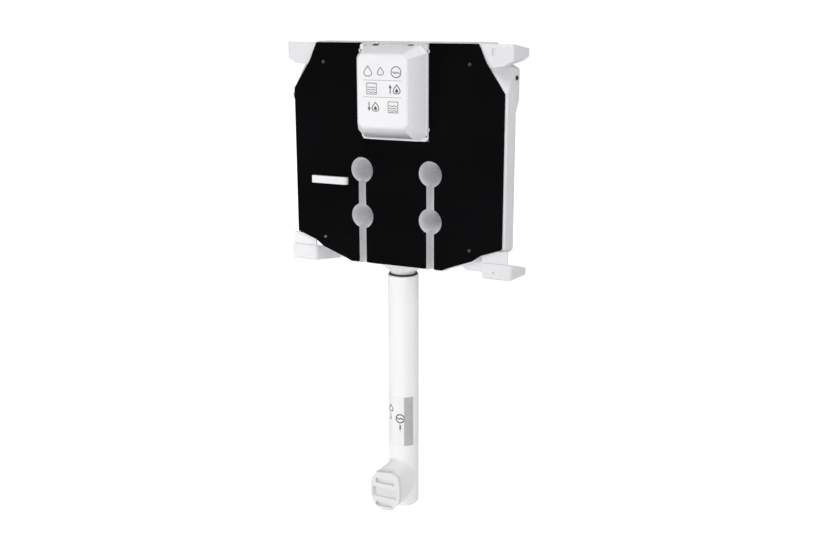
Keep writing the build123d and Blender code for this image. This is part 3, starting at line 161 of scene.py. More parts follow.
class Finish:
    """One procedural finish: colour patches, fine grain and softened edges, on object coordinates."""

    def __init__(self, name, colour, roughness, edge=0.0):
        self.material, self.tree, self.shader = node_material(name)
        self.nodes = self.tree.nodes
        self.coords = self.nodes.new("ShaderNodeTexCoord").outputs["Object"]
        self.base = colour
        self.colour = None
        self.rough = roughness
        self.rough_link = None
        self.normal = None
        if edge:
            bevel = self.nodes.new("ShaderNodeBevel")
            bevel.samples = BEVEL_SAMPLES
            bevel.inputs["Radius"].default_value = edge
            self.normal = bevel.outputs["Normal"]

    def link(self, source, target):
        self.tree.links.new(source, target)

    def stretched(self, scale):
        mapping = self.nodes.new("ShaderNodeMapping")
        mapping.inputs["Scale"].default_value = scale
        self.link(self.coords, mapping.inputs["Vector"])
        return mapping.outputs["Vector"]

    def noise(self, scale, detail=3.0, stretch=None):
        texture = self.nodes.new("ShaderNodeTexNoise")
        texture.inputs["Scale"].default_value = scale
        texture.inputs["Detail"].default_value = detail
        self.link(self.stretched(stretch) if stretch else self.coords, texture.inputs["Vector"])
        return texture.outputs["Fac"]

    def cells(self, scale, feature="F1"):
        texture = self.nodes.new("ShaderNodeTexVoronoi")
        texture.feature = feature
        texture.inputs["Scale"].default_value = scale
        self.link(self.coords, texture.inputs["Vector"])
        return texture.outputs["Distance"]

    def ramp(self, source, low, high, start=RAMP_START, stop=RAMP_STOP):
        """The source from start to stop spread from low to high."""
        spread = self.nodes.new("ShaderNodeMapRange")
        spread.inputs["From Min"].default_value = start
        spread.inputs["From Max"].default_value = stop
        spread.inputs["To Min"].default_value = low
        spread.inputs["To Max"].default_value = high
        self.link(source, spread.inputs["Value"])
        return spread.outputs["Result"]

    def tint(self, source, colour, low=0.0, high=1.0, start=RAMP_START, stop=RAMP_STOP):
        """Mixes another colour in by the source's ramp."""
        mix = self.nodes.new("ShaderNodeMix")
        mix.data_type = "RGBA"
        if self.colour is None:
            mix.inputs["A"].default_value = (*self.base, 1.0)
        else:
            self.link(self.colour, mix.inputs["A"])
        mix.inputs["B"].default_value = (*colour, 1.0)
        self.link(self.ramp(source, low, high, start, stop), mix.inputs["Factor"])
        self.colour = mix.outputs["Result"]

    def bump(self, source, strength, distance):
        bump = self.nodes.new("ShaderNodeBump")
        bump.inputs["Strength"].default_value = strength
        bump.inputs["Distance"].default_value = distance
        self.link(source, bump.inputs["Height"])
        if self.normal is not None:
            self.link(self.normal, bump.inputs["Normal"])
        self.normal = bump.outputs["Normal"]

    def uneven(self, source, low, high):
        """Lets the roughness follow the source."""
        self.rough_link = self.ramp(source, low, high)

    def done(self, **sockets):
        """The material, with any further shader sockets set."""
        self.link(self.colour, self.shader.inputs["Base Color"])
        if self.rough_link is None:
            self.shader.inputs["Roughness"].default_value = self.rough
        else:
            self.link(self.rough_link, self.shader.inputs["Roughness"])
        self.link(self.normal, self.shader.inputs["Normal"])
        for socket, value in sockets.items():
            self.shader.inputs[socket.replace("_", " ")].default_value = value
        return self.material


def blown_plastic():
    finish = Finish("blown_plastic", colour=(0.80, 0.80, 0.82), roughness=0.5, edge=1.5 * MM)
    finish.tint(finish.noise(9.0, detail=4.0), colour=(0.75, 0.75, 0.77), high=0.6)
    finish.tint(finish.noise(240.0, detail=2.0), colour=(0.86, 0.86, 0.87), high=0.35)
    finish.uneven(finish.noise(35.0), low=0.42, high=0.58)
    finish.bump(finish.noise(420.0, detail=2.0), strength=0.12, distance=0.4 * MM)
    finish.bump(finish.noise(28.0, detail=2.0), strength=0.10, distance=2.0 * MM)
    return finish.done()


def black_foam():
    finish = Finish("black_foam", colour=(0.0016, 0.0014, 0.0019), roughness=0.9, edge=0.8 * MM)
    finish.tint(finish.noise(5.0), colour=(0.003, 0.0027, 0.0034), high=0.8)
    speckle = finish.noise(900.0, detail=2.0)
    finish.tint(speckle, colour=(0.006, 0.0055, 0.0065), high=0.5, start=0.55, stop=0.8)
    finish.bump(finish.cells(1100.0), strength=0.35, distance=0.3 * MM)
    finish.bump(finish.noise(60.0), strength=0.15, distance=0.8 * MM)
    return finish.done(Specular_IOR_Level=0.05)


def moulded(name, colour, roughness, edge=0.6 * MM, grain=0.08):
    """Moulded plastic: darker and lighter patches over a fine grain."""
    finish = Finish(name, colour, roughness, edge)
    darker = tuple(0.93 * part for part in colour)
    lighter = tuple(min(1.0, 1.05 * part + 0.004) for part in colour)
    finish.tint(finish.noise(14.0), colour=darker, high=0.6)
    finish.tint(finish.noise(300.0, detail=2.0), colour=lighter, high=0.4)
    finish.uneven(finish.noise(50.0), low=roughness - 0.06, high=roughness + 0.08)
    finish.bump(finish.noise(900.0, detail=2.0), strength=grain, distance=0.3 * MM)
    return finish.done()


def beaded_foam():
    """Expanded foam: pale beads with fine seams between them."""
    bead_scale = 330.0
    seam_width = 0.12
    groove_width = 0.1
    finish = Finish("beaded_foam", colour=(0.93, 0.93, 0.93), roughness=0.65, edge=2.0 * MM)
    seams = finish.cells(bead_scale, "DISTANCE_TO_EDGE")
    finish.tint(seams, colour=(0.88, 0.88, 0.885), low=0.35, high=0.0, start=0.0, stop=seam_width)
    grooves = finish.ramp(seams, low=0.0, high=1.0, start=0.0, stop=groove_width)
    finish.bump(grooves, strength=0.15, distance=0.4 * MM)
    finish.bump(finish.noise(40.0, detail=2.0), strength=0.1, distance=1.2 * MM)
    return finish.done()


def rubber(name):
    finish = Finish(name, colour=(0.012, 0.012, 0.013), roughness=0.6, edge=0.5 * MM)
    finish.tint(finish.noise(60.0), colour=(0.02, 0.02, 0.021), high=0.7)
    finish.bump(finish.noise(700.0, detail=2.0), strength=0.1, distance=0.3 * MM)
    return finish.done()


def metal(name, colour, roughness):
    """Drawn or turned metal, streaked along one axis."""
    streak = (1.0, 1.0, 30.0)
    finish = Finish(name, colour, roughness, edge=0.3 * MM)
    finish.tint(finish.noise(60.0), colour=tuple(0.8 * part for part in colour), high=0.5)
    finish.uneven(finish.noise(80.0, stretch=streak), low=roughness - 0.08, high=roughness + 0.1)
    finish.bump(finish.noise(150.0, stretch=streak), strength=0.06, distance=0.2 * MM)
    return finish.done(Metallic=1.0)


def printed_film():
    finish = Finish("printed_film", colour=(0.90, 0.90, 0.915), roughness=0.42)
    finish.tint(finish.noise(30.0), colour=(0.87, 0.87, 0.885), high=0.6)
    finish.bump(finish.noise(500.0, detail=2.0), strength=0.05, distance=0.2 * MM)
    return finish.done()


def ink(name, colour, paler):
    finish = Finish(name, colour, roughness=0.45)
    finish.tint(finish.noise(60.0), colour=paler, high=0.8)
    finish.bump(finish.noise(900.0, detail=2.0), strength=0.08, distance=0.1 * MM)
    return finish.done()


slot_materials = {
    "tank": blown_plastic(),
    "foam": black_foam(),
    "pin": moulded("pin_plastic", colour=(0.03, 0.03, 0.032), roughness=0.4),
    "black_rubber": rubber("black_rubber"),
    "cover": moulded("cover_plastic", colour=(0.80, 0.80, 0.815), roughness=0.42, edge=1.0 * MM),
    "label": printed_film(),
    "expanded_foam": beaded_foam(),
    "grey_plastic": moulded("grey_plastic", colour=(0.34, 0.35, 0.37), roughness=0.4),
    "white_plastic": moulded("white_plastic", colour=(0.80, 0.80, 0.81), roughness=0.38),
    "blue_plastic": moulded("blue_plastic", colour=(0.03, 0.12, 0.36), roughness=0.36),
    "green_plastic": moulded("green_plastic", colour=(0.03, 0.22, 0.12), roughness=0.36),
    "brass": metal("turned_brass", colour=(0.60, 0.40, 0.16), roughness=0.28),
    "steel": metal("zinc_steel", colour=(0.55, 0.56, 0.57), roughness=0.32),
    "float_foam": moulded(
        "float_foam", colour=(0.55, 0.56, 0.57), roughness=0.55, edge=1.0 * MM, grain=0.2),
}
print_ink = ink("print_ink", colour=(0.045, 0.045, 0.05), paler=(0.09, 0.09, 0.095))
# Painted shade: a mid grey that darkens the pipe label's right side, where it turns from the light
film_painted_shade = ink("film_painted_shade", colour=(0.47, 0.47, 0.48), paler=(0.52, 0.52, 0.53))


# Mesh helpers

CAD_WELD = 0.002 * MM
JOIN_TOLERANCE = 0.003 * MM
FLAT_BELOW = math.radians(1.5)
SMOOTH_BELOW = math.radians(32)


def shaded(shape, smooth):
    """Marks a bmesh smooth across edges below the given angle."""
    for edge in shape.edges:
        edge.smooth = len(edge.link_faces) == 2 and edge.calc_face_angle(0.0) < smooth
    for face in shape.faces:
        face.smooth = True


def solid(name, shape, smooth=SMOOTH_BELOW):
    """An object from a bmesh."""
    mesh = bpy.data.meshes.new(name)
    shape.normal_update()
    shaded(shape, smooth)
    shape.to_mesh(mesh)
    shape.free()
    piece = bpy.data.objects.new(name, mesh)
    scene.collection.objects.link(piece)
    return piece


def merged_copy(name, *nodes, joins=()):
    """One merged mesh from CAD nodes, with flat areas joined into large faces.

    Nodes that meet flush at joins, given as (axis, place), lose their faces there."""
    shape = bmesh.new()
    for node in nodes:
        shape.from_mesh(frame["nodes"][node].data)
    bmesh.ops.remove_doubles(shape, verts=shape.verts, dist=CAD_WELD)
    inner = [
        face for face in shape.faces
        if any(
            all(abs(vert.co[axis] - place) < JOIN_TOLERANCE for vert in face.verts)
            for axis, place in joins
        )
    ]
    bmesh.ops.delete(shape, geom=inner, context="FACES")
    bmesh.ops.dissolve_limit(
        shape, angle_limit=FLAT_BELOW, use_dissolve_boundaries=False,
        verts=shape.verts, edges=shape.edges,
    )
    return solid(name, shape)


def applied(piece):
    """The piece with its modifiers made part of its mesh."""
    graph = bpy.context.evaluated_depsgraph_get()
    mesh = bpy.data.meshes.new_from_object(piece.evaluated_get(graph), depsgraph=graph)
    piece.modifiers.clear()
    old = piece.data
    piece.data = mesh
    mesh.name = piece.name
    bpy.data.meshes.remove(old)
    return piece


def rounded(piece, width, angle, segments=2):
    """Rounds the piece's edges that are sharper than the angle, in degrees."""
    bevel = piece.modifiers.new("edges", "BEVEL")
    bevel.width = width
    bevel.segments = segments
    bevel.limit_method = "ANGLE"
    bevel.angle_limit = math.radians(angle)
    bevel.miter_outer = "MITER_ARC"
    bevel.use_clamp_overlap = True
    bevel.harden_normals = False
    return applied(piece)


def cut_away(piece, *forms, crossing=False):
    """Cuts the forms out of the piece; crossing says that a form's own parts cross."""
    for form in forms:
        cut = piece.modifiers.new("cut", "BOOLEAN")
        cut.operation = "DIFFERENCE"
        cut.solver = "EXACT"
        cut.use_self = crossing
        cut.object = form
    applied(piece)
    for form in forms:
        bpy.data.objects.remove(form)


def painted(piece, material):
    piece.data.materials.clear()
    piece.data.materials.append(material)
    for polygon in piece.data.polygons:
        polygon.material_index = 0


def finished(piece, slot, body, *nodes, look=None):
    """Gives a piece its finish and says what it rides on and which nodes it stands for."""
    painted(piece, look or slot_materials[slot])
    if nodes:
        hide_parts(*nodes)
    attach(piece, body)


class Tree:
    """A Geometry Nodes tree with named inputs, which ends in Realize Instances and Set Material."""

    SMOOTH_BELOW = math.radians(35)
    WELD = 0.001 * MM

    def __init__(self, name, **inputs):
        self.group = bpy.data.node_groups.new(name, "GeometryNodeTree")
        self.group.is_modifier = True
        self.group.interface.new_socket("Geometry", in_out="INPUT", socket_type="NodeSocketGeometry")
        self.sockets = {}
        for label, value in inputs.items():
            kind = "NodeSocketInt" if isinstance(value, int) else "NodeSocketFloat"
            socket = self.group.interface.new_socket(label, in_out="INPUT", socket_type=kind)
            socket.default_value = value
            self.sockets[label] = socket.identifier
        self.group.interface.new_socket("Geometry", in_out="OUTPUT", socket_type="NodeSocketGeometry")
        self.enter = self.group.nodes.new("NodeGroupInput")
        self.leave = self.group.nodes.new("NodeGroupOutput")

    def add(self, kind, values=None, **links):
        """A node's first output, from its settings, constant inputs and links."""
        node = self.group.nodes.new(kind)
        for label, value in (values or {}).items():
            if label in node.inputs:
                node.inputs[label].default_value = value
            else:
                setattr(node, label, value)
        for label, sources in links.items():
            for source in sources if isinstance(sources, list) else [sources]:
                self.group.links.new(source, node.inputs[label.replace("_", " ")])
        return node.outputs[0]

    def given(self, label):
        return self.enter.outputs[label]

    def finish(self, geometry, slot):
        real = self.add("GeometryNodeRealizeInstances", Geometry=geometry)
        surfaced = self.add(
            "GeometryNodeSetMaterial", {"Material": slot_materials[slot]}, Geometry=real)
        self.group.links.new(surfaced, self.leave.inputs["Geometry"])

    def make(self, name, turn, **values):
        """The tree's result as a plain mesh, moved to its place by a matrix."""
        carrier = bpy.data.objects.new(name, bpy.data.meshes.new(name + "_carrier"))
        scene.collection.objects.link(carrier)
        modifier = carrier.modifiers.new("nodes", "NODES")
        modifier.node_group = self.group
        for label, value in values.items():
            modifier[self.sockets[label]] = value
        graph = bpy.context.evaluated_depsgraph_get()
        mesh = bpy.data.meshes.new_from_object(carrier.evaluated_get(graph), depsgraph=graph)
        carrier.modifiers.clear()
        bpy.data.objects.remove(carrier)
        shape = bmesh.new()
        shape.from_mesh(mesh)
        bpy.data.meshes.remove(mesh)
        shape.transform(turn)
        bmesh.ops.remove_doubles(shape, verts=shape.verts, dist=self.WELD)
        bmesh.ops.recalc_face_normals(shape, faces=shape.faces)
        return solid(name, shape, self.SMOOTH_BELOW)


# The CAD's own nodes take their slots' materials

node_slots = {row["node"]: row["material_slot"] for row in frame["record"]["subparts"]}
for node, node_piece in frame["nodes"].items():
    painted(node_piece, slot_materials[node_slots[node]])


# Tank, panel, cover and cap: the CAD's forms with rounded edges

X_AXIS = 0
Z_AXIS = 2
shell_nodes = ("tank", "tank_shoulders", "tank_head")
head_low, head_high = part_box("tank_head")
shell_joins = ((X_AXIS, head_low[X_AXIS]), (X_AXIS, head_high[X_AXIS]), (Z_AXIS, head_low[Z_AXIS]))
shell = merged_copy("tank_shell", *shell_nodes, joins=shell_joins)
finished(rounded(shell, width=1.0 * MM, angle=28), "tank", "base", *shell_nodes)

panel = merged_copy("insulating_panel", "foam_panel")
finished(rounded(panel, width=0.9 * MM, angle=40, segments=3), "foam", "base", "foam_panel")

cover = merged_copy("cover_moulding", "inspection_cover")
finished(rounded(cover, width=0.7 * MM, angle=25, segments=3), "cover", "cover", "inspection_cover")

cap = merged_copy("cap_moulding", "outlet_cap")
finished(rounded(cap, width=0.6 * MM, angle=35), "white_plastic", "outlet_cap_body", "outlet_cap")


# Prints on the labels: generic drops, rings, levels and arrows in raised ink

INK = 0.06 * MM


class Drawing:
    """Flat strokes and shapes on a sheet, later wrapped on to the label."""

    RING_STEPS = 40
    DROP_STEPS = 28
    DROP_WIDTH_SHARE = 0.62
    DROP_POINT_POWER = 1.5
    LEVEL_STEPS = 24
    LEVEL_WAVES = 2
    SHAFT_SHARE = 0.7
    HEAD_START_SHARE = 0.6
    HEAD_WIDTHS = 1.6

    def __init__(self):
        self.shape = bmesh.new()

    def stroke(self, points, width, closed=False):
        """A line of even width through the points."""
        count = len(points)
        rows = []
        for index, (x, z) in enumerate(points):
            before = points[index - 1] if closed or index else points[0]
            after = points[(index + 1) % count] if closed or index + 1 < count else points[-1]
            along = Vector((after[0] - before[0], after[1] - before[1])).normalized()
            side = Vector((-along.y, along.x)) * width / 2
            rows.append([
                self.shape.verts.new((x + side.x, 0.0, z + side.y)),
                self.shape.verts.new((x - side.x, 0.0, z - side.y)),
            ])
        for first, second in zip(rows, rows[1:] + rows[:1] if closed else rows[1:]):
            self.shape.faces.new((first[0], first[1], second[1], second[0]))

    def fill(self, points):
        self.shape.faces.new([self.shape.verts.new((x, 0.0, z)) for x, z in points])

    def square(self, x, z, half, width):
        corners = ((-half, -half), (-half, half), (half, half), (half, -half))
        self.stroke([(x + across, z + up) for across, up in corners], width, closed=True)

    def ring(self, x, z, radius, width):
        turns = [FULL_TURN * step / self.RING_STEPS for step in range(self.RING_STEPS)]
        points = [(x + radius * math.cos(turn), z + radius * math.sin(turn)) for turn in turns]
        self.stroke(points, width, closed=True)

    def drop_points(self, x, z, size):
        """Outline of a water drop, point upwards."""
        points = []
        for step in range(self.DROP_STEPS):
            turn = FULL_TURN * step / self.DROP_STEPS
            wide = math.sin(turn) * math.sin(turn / 2) ** self.DROP_POINT_POWER
            points.append((
                x + self.DROP_WIDTH_SHARE * size * wide,
                z + size / 2 * math.cos(turn),
            ))
        return points

    def drop(self, x, z, size, width):
        self.stroke(self.drop_points(x, z, size), width, closed=True)

    def level(self, x, z, half, width, swing):
        """A wavy water line."""
        points = []
        for step in range(self.LEVEL_STEPS + 1):
            share = step / self.LEVEL_STEPS
            rise = swing * math.sin(FULL_TURN * self.LEVEL_WAVES * share)
            points.append((x + half * (2 * share - 1), z + rise))
        self.stroke(points, width)

    def arrow(self, x, z, length, width, up):
        """An upright arrow from its tail; up is 1 or -1."""
        self.stroke([(x, z), (x, z + up * length * self.SHAFT_SHARE)], width)
        half = self.HEAD_WIDTHS * width
        base = z + up * length * self.HEAD_START_SHARE
        self.fill([(x - half, base), (x + half, base), (x, z + up * length)][::up])

    def laid(self, name, place):
        """The drawing as thin solid ink, each point put on the label by place(x, height, z)."""
        made = bmesh.ops.extrude_face_region(self.shape, geom=self.shape.faces[:])
        for item in made["geom"]:
            if isinstance(item, bmesh.types.BMVert):
                item.co.y -= INK
        for vert in self.shape.verts:
            vert.co = place(*vert.co)
        bmesh.ops.recalc_face_normals(self.shape, faces=self.shape.faces)
        return solid(name, self.shape)


# The cover's signs stand in three rows, parted by two thin rules

RULE_HALF = 36 * MM
RULE_WIDTH = 0.5 * MM
PAIR_X = 20 * MM
FRAME_HALF = 9 * MM

signs = Drawing()
signs.drop(x=-27 * MM, z=33 * MM, size=17 * MM, width=1.3 * MM)
signs.drop(x=-3 * MM, z=33 * MM, size=13 * MM, width=1.3 * MM)
signs.ring(x=26 * MM, z=32 * MM, radius=9 * MM, width=1.5 * MM)
signs.level(x=26 * MM, z=31 * MM, half=6.5 * MM, width=1.6 * MM, swing=1.2 * MM)
for rule_z in (18 * MM, -10 * MM):
    signs.stroke([(-RULE_HALF, rule_z), (RULE_HALF, rule_z)], RULE_WIDTH)
for row_z, side in ((4 * MM, -1), (-26 * MM, 1)):
    frame_x = side * PAIR_X
    signs.square(frame_x, row_z, half=FRAME_HALF, width=1.6 * MM)
    for level_rise in (2 * MM, -2 * MM, -6 * MM):
        signs.level(frame_x, row_z + level_rise, half=7.4 * MM, width=1.1 * MM, swing=0.7 * MM)
    tail_x = -frame_x - 5 * MM
    signs.arrow(tail_x, row_z + side * 8 * MM, length=16 * MM, width=1.7 * MM, up=-side)
    drop_x = -frame_x + 7 * MM
    signs.drop(drop_x, row_z, size=15 * MM, width=1.5 * MM)
    signs.fill(signs.drop_points(drop_x, row_z - 2 * MM, size=7 * MM))

label_low, label_high = (Vector(corner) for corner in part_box("cover_label"))
label_middle = (label_low + label_high) / 2


def on_cover(x, height, z):
    return Vector((label_middle.x + x, label_low.y + height, label_middle.z + z))


finished(signs.laid("cover_signs", on_cover), "label", "cover", look=print_ink)


# The pipe label's signs wrap round the sleeve, and so does a grey band of painted shade on the film's
# right side

FILM_LIFT = 0.3 * MM
FILM_TURN = math.radians(-82)
BAND_LEFT = 9.5 * MM
BAND_HALF_HEIGHT = 48 * MM
STRIP_WIDTH = 1.5 * MM
STRIPS = 12
STRIP_WELD = 0.01 * MM

sleeve_low, sleeve_high = (Vector(corner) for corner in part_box("pipe_sleeve"))
sleeve_x = (sleeve_low.x + sleeve_high.x) / 2
sleeve_y = (sleeve_low.y + sleeve_high.y) / 2
sleeve_r = (sleeve_high.x - sleeve_low.x) / 2
film_r = sleeve_r + FILM_LIFT
film_low, film_high = (Vector(corner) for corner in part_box("pipe_label"))
film_middle_z = (film_low.z + film_high.z) / 2


def on_pipe(x, height, z):
    turn = FILM_TURN + x / film_r
    radius = film_r - height
    return Vector((
        sleeve_x + radius * math.cos(turn), sleeve_y + radius * math.sin(turn), film_middle_z + z))


marks = Drawing()
marks.drop(x=-19 * MM, z=24 * MM, size=13 * MM, width=1.8 * MM)
marks.arrow(x=-19 * MM, z=13 * MM, length=13 * MM, width=1.5 * MM, up=-1)
marks.ring(x=2 * MM, z=6 * MM, radius=8 * MM, width=2.2 * MM)
marks.level(x=2 * MM, z=6 * MM, half=6 * MM, width=2.0 * MM, swing=1.0 * MM)
marks.arrow(x=2 * MM, z=-6 * MM, length=14 * MM, width=2.6 * MM, up=-1)
marks.stroke([(-5 * MM, -23 * MM), (9 * MM, -23 * MM)], width=2.0 * MM)
finished(marks.laid("pipe_signs", on_pipe), "label", "base", look=print_ink)

# A band of painted shade over the film's right side, laid as twelve thin strips
band = Drawing()
for strip in range(STRIPS):
    left = BAND_LEFT + STRIP_WIDTH * strip
    right = left + STRIP_WIDTH
    band.fill([
        (left, -BAND_HALF_HEIGHT), (right, -BAND_HALF_HEIGHT),
        (right, BAND_HALF_HEIGHT), (left, BAND_HALF_HEIGHT),
    ])
bmesh.ops.remove_doubles(band.shape, verts=band.shape.verts, dist=STRIP_WELD)
finished(band.laid("pipe_painted_shade", on_pipe), "label", "base", look=film_painted_shade)


# Insulating sleeve: one foamed moulding, with a branch that flows into the pipe's bend

CIRCLE_STEPS = 72
BODY_ROUND = 8.0 * MM
BODY_ROUND_STEPS = 6
BODY_STEPS = 61
MOUTH = [
    (0.48, 1.0), (0.87, 0.84), (0.98, 0.44), (1.0, -0.25), (0.92, -0.57), (0.45, -0.97),
    (-0.25, -1.0), (-0.71, -0.81), (-0.97, -0.40), (-1.0, 0.14), (-0.93, 0.53), (-0.62, 0.94),
]
MOUTH_Y = 3.0 * MM
MOUTH_START = -1.0 * MM
MOUTH_HALF_WIDTH = 30.2 * MM
MOUTH_HALF_HEIGHT = 38.2 * MM
MOUTH_MIDDLE_X = -1.2 * MM
MOUTH_MIDDLE_Z = 1.4 * MM
ROOT_HALF = 27.6 * MM
ROOT_TOP = 45.0 * MM
ROOT_BOTTOM = -40.0 * MM
ROOT_MIDDLE = 8.0 * MM
ROOT_POWER = 0.9
FLOW_LENGTH = 26 * MM
BRANCH_STEPS = 14
OUTLINE_STEPS = 96
PARALLEL = 1e-9
EDGE_SLACK = 1e-6
VOXEL = 1.5 * MM
BLEND_TOP = 70 * MM
BLEND_BACK = 6 * MM
BLEND_FRONT = 2 * MM
BLEND_PASSES = 10
BLEND_FACTOR = 0.5

PIPE_HOLE_R = 22.8 * MM
BEND_R = 42 * MM
BEND_STEP = 6
SOCKET_HOLE_R = 26.3 * MM
SOCKET_END = 32 * MM
POCKET_R = 25.2 * MM
POCKET_DEPTH = 16 * MM
PAST_TOP = 10 * MM
PAST_MOUTH = -12 * MM
TRIM_HALF = 60 * MM
TRIM_START = -30 * MM
SLEEVE_WELD = 0.02 * MM
SLEEVE_SMOOTH = math.radians(40)


def add_loft(shape, rows):
    """Adds a closed solid through rows of points, each row a loop in the same order."""
    loops = [[shape.verts.new(point) for point in row] for row in rows]
    for first, second in zip(loops, loops[1:]):
        for index in range(len(first)):
            after = (index + 1) % len(first)
            shape.faces.new((first[index], first[after], second[after], second[index]))
    shape.faces.new(loops[0][::-1])
    shape.faces.new(loops[-1])


def lofted(name, *lofts):
    """An object of closed solids, each given as its rows."""
    shape = bmesh.new()
    for rows in lofts:
        add_loft(shape, rows)
    bmesh.ops.recalc_face_normals(shape, faces=shape.faces)
    return solid(name, shape)


def level_circle(x, y, z, radius):
    turns = [FULL_TURN * step / CIRCLE_STEPS for step in range(CIRCLE_STEPS)]
    return [(x + radius * math.cos(turn), y + radius * math.sin(turn), z) for turn in turns]


def facing_circle(y, radius):
    """A circle round the outlet's axis, square to it."""
    return [(x, y, z) for x, z, _ in level_circle(0, 0, 0, radius)]


def mouth_reach(turn):
    """How far the mouth's outline lies from its middle in one direction, in shares of its size."""
    toward_x, toward_z = math.cos(turn), math.sin(turn)
    best = 0.0
    for (ax, az), (bx, bz) in zip(MOUTH, MOUTH[1:] + MOUTH[:1]):
        across = toward_x * (bz - az) - toward_z * (bx - ax)
        if abs(across) < PARALLEL:
            continue
        reach = (ax * (bz - az) - az * (bx - ax)) / across
        along = (ax * toward_z - az * toward_x) / across
        if reach > 0 and -EDGE_SLACK <= along <= 1 + EDGE_SLACK:
            best = max(best, reach)
    return best


def branch_row(y, share):
    """One section of the branch; share 0 is its mouth, 1 its round root."""
    row = []
    for step in range(OUTLINE_STEPS):
        turn = FULL_TURN * step / OUTLINE_STEPS
        reach = mouth_reach(turn)
        mouth_x = MOUTH_MIDDLE_X + MOUTH_HALF_WIDTH * reach * math.cos(turn)
        mouth_z = MOUTH_MIDDLE_Z + MOUTH_HALF_HEIGHT * reach * math.sin(turn)
        height = ROOT_TOP - ROOT_MIDDLE if math.sin(turn) > 0 else ROOT_MIDDLE - ROOT_BOTTOM
        root_x = ROOT_HALF * math.copysign(abs(math.cos(turn)) ** ROOT_POWER, math.cos(turn))
        root_z = ROOT_MIDDLE + height * math.sin(turn)
        row.append((mouth_x + share * (root_x - mouth_x), y, mouth_z + share * (root_z - mouth_z)))
    return row


def body_rows(low_z, high_z):
    """The upright body from its rounded bottom to its top."""
    rows = []
    for step in reversed(range(BODY_ROUND_STEPS + 1)):
        turn = math.radians(90 / BODY_ROUND_STEPS * step)
        z = low_z + BODY_ROUND * (1 - math.sin(turn))
        rows.append(level_circle(sleeve_x, sleeve_y, z, sleeve_r - BODY_ROUND * (1 - math.cos(turn))))
    start_z = low_z + BODY_ROUND
    for step in range(1, BODY_STEPS + 1):
        z = start_z + (high_z - start_z) * step / BODY_STEPS
        rows.append(level_circle(sleeve_x, sleeve_y, z, sleeve_r))
    return rows


def branch_rows():
    """The branch from its mouth into the middle of the body."""
    rows = []
    for step in range(BRANCH_STEPS + 1):
        y = MOUTH_START + (sleeve_y - MOUTH_START) * step / BRANCH_STEPS
        flow = min(1.0, max(0.0, y - MOUTH_Y) / FLOW_LENGTH)
        rows.append(branch_row(y, flow * flow * (3 - 2 * flow)))
    return rows


def pipe_rows(top_z):
    """The pipe's hole, from before the mouth round the bend and up past the top."""
    path = [(PAST_MOUTH, 0.0, 0)]
    for angle in range(0, 91, BEND_STEP):
        lean = math.radians(angle)
        y = sleeve_y - BEND_R + BEND_R * math.sin(lean)
        path.append((y, BEND_R * (1 - math.cos(lean)), angle))
    path.append((sleeve_y, top_z + PAST_TOP, 90))
    rows = []
    for y, z, angle in path:
        lean = math.radians(angle)
        row = []
        for step in range(CIRCLE_STEPS):
            turn = FULL_TURN * step / CIRCLE_STEPS
            side = PIPE_HOLE_R * math.sin(turn)
            x = sleeve_x + PIPE_HOLE_R * math.cos(turn)
            row.append((x, y - side * math.sin(lean), z + side * math.cos(lean)))
        rows.append(row)
    return rows


bend_low = Vector(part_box("bend_sleeve")[0])
sleeve = lofted("foam_sleeve", body_rows(bend_low.z, sleeve_high.z), branch_rows())
remesh = sleeve.modifiers.new("one_skin", "REMESH")
remesh.mode = "VOXEL"
remesh.voxel_size = VOXEL
remesh.use_smooth_shade = True
applied(sleeve)

skin = bmesh.new()
skin.from_mesh(sleeve.data)
blend = [
    vert for vert in skin.verts
    if vert.co.z < BLEND_TOP and MOUTH_Y + BLEND_FRONT < vert.co.y < sleeve_y + BLEND_BACK
]
for _ in range(BLEND_PASSES):
    bmesh.ops.smooth_vert(
        skin, verts=blend, factor=BLEND_FACTOR, use_axis_x=True, use_axis_y=True, use_axis_z=True)
skin.to_mesh(sleeve.data)
skin.free()

pocket = [
    level_circle(sleeve_x, sleeve_y, z, POCKET_R)
    for z in (sleeve_high.z - POCKET_DEPTH, sleeve_high.z + PAST_TOP)
]
socket_hole = [facing_circle(y, SOCKET_HOLE_R) for y in (PAST_MOUTH, SOCKET_END)]
trim_corners = ((-1, -1), (1, -1), (1, 1), (-1, 1))
trim = [
    [(across * TRIM_HALF, y, up * TRIM_HALF) for across, up in trim_corners]
    for y in (TRIM_START, MOUTH_Y)
]
cut_away(
    sleeve,
    lofted("hole_form", pipe_rows(sleeve_high.z)),
    lofted("mouth_form", socket_hole, pocket),
    lofted("face_form", trim),
)
shape = bmesh.new()
shape.from_mesh(sleeve.data)
bmesh.ops.remove_doubles(shape, verts=shape.verts, dist=SLEEVE_WELD)
shaded(shape, SLEEVE_SMOOTH)
shape.to_mesh(sleeve.data)
shape.free()
finished(sleeve, "expanded_foam", "base", *[node for node in frame["nodes"] if node.endswith("_sleeve")])


# Inlet thread: ridges repeated along the fitting, on a core turned down under them

THREAD_R = 10.5 * MM
THREAD_PITCH = 1.814 * MM
THREAD_TOLERANCE = 0.3 * MM
CORE_R = 9.35 * MM
RIDGE_SIZE = 0.75 * MM
RIDGE_INSET = 0.02 * MM
RIDGE_CORNERS = 4

fitting_low, fitting_high = (Vector(corner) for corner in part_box("inlet_fitting"))
nut_low = Vector(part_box("inlet_nut")[0])
inlet_y = (fitting_low.y + fitting_high.y) / 2
inlet_z = (fitting_low.z + fitting_high.z) / 2

core = merged_copy("inlet_core", "inlet_fitting")
for vert in core.data.vertices:
    out = math.hypot(vert.co.y - inlet_y, vert.co.z - inlet_z)
    if vert.co.x < nut_low.x and abs(out - THREAD_R) < THREAD_TOLERANCE:
        vert.co.y = inlet_y + (vert.co.y - inlet_y) * CORE_R / out
        vert.co.z = inlet_z + (vert.co.z - inlet_z) * CORE_R / out

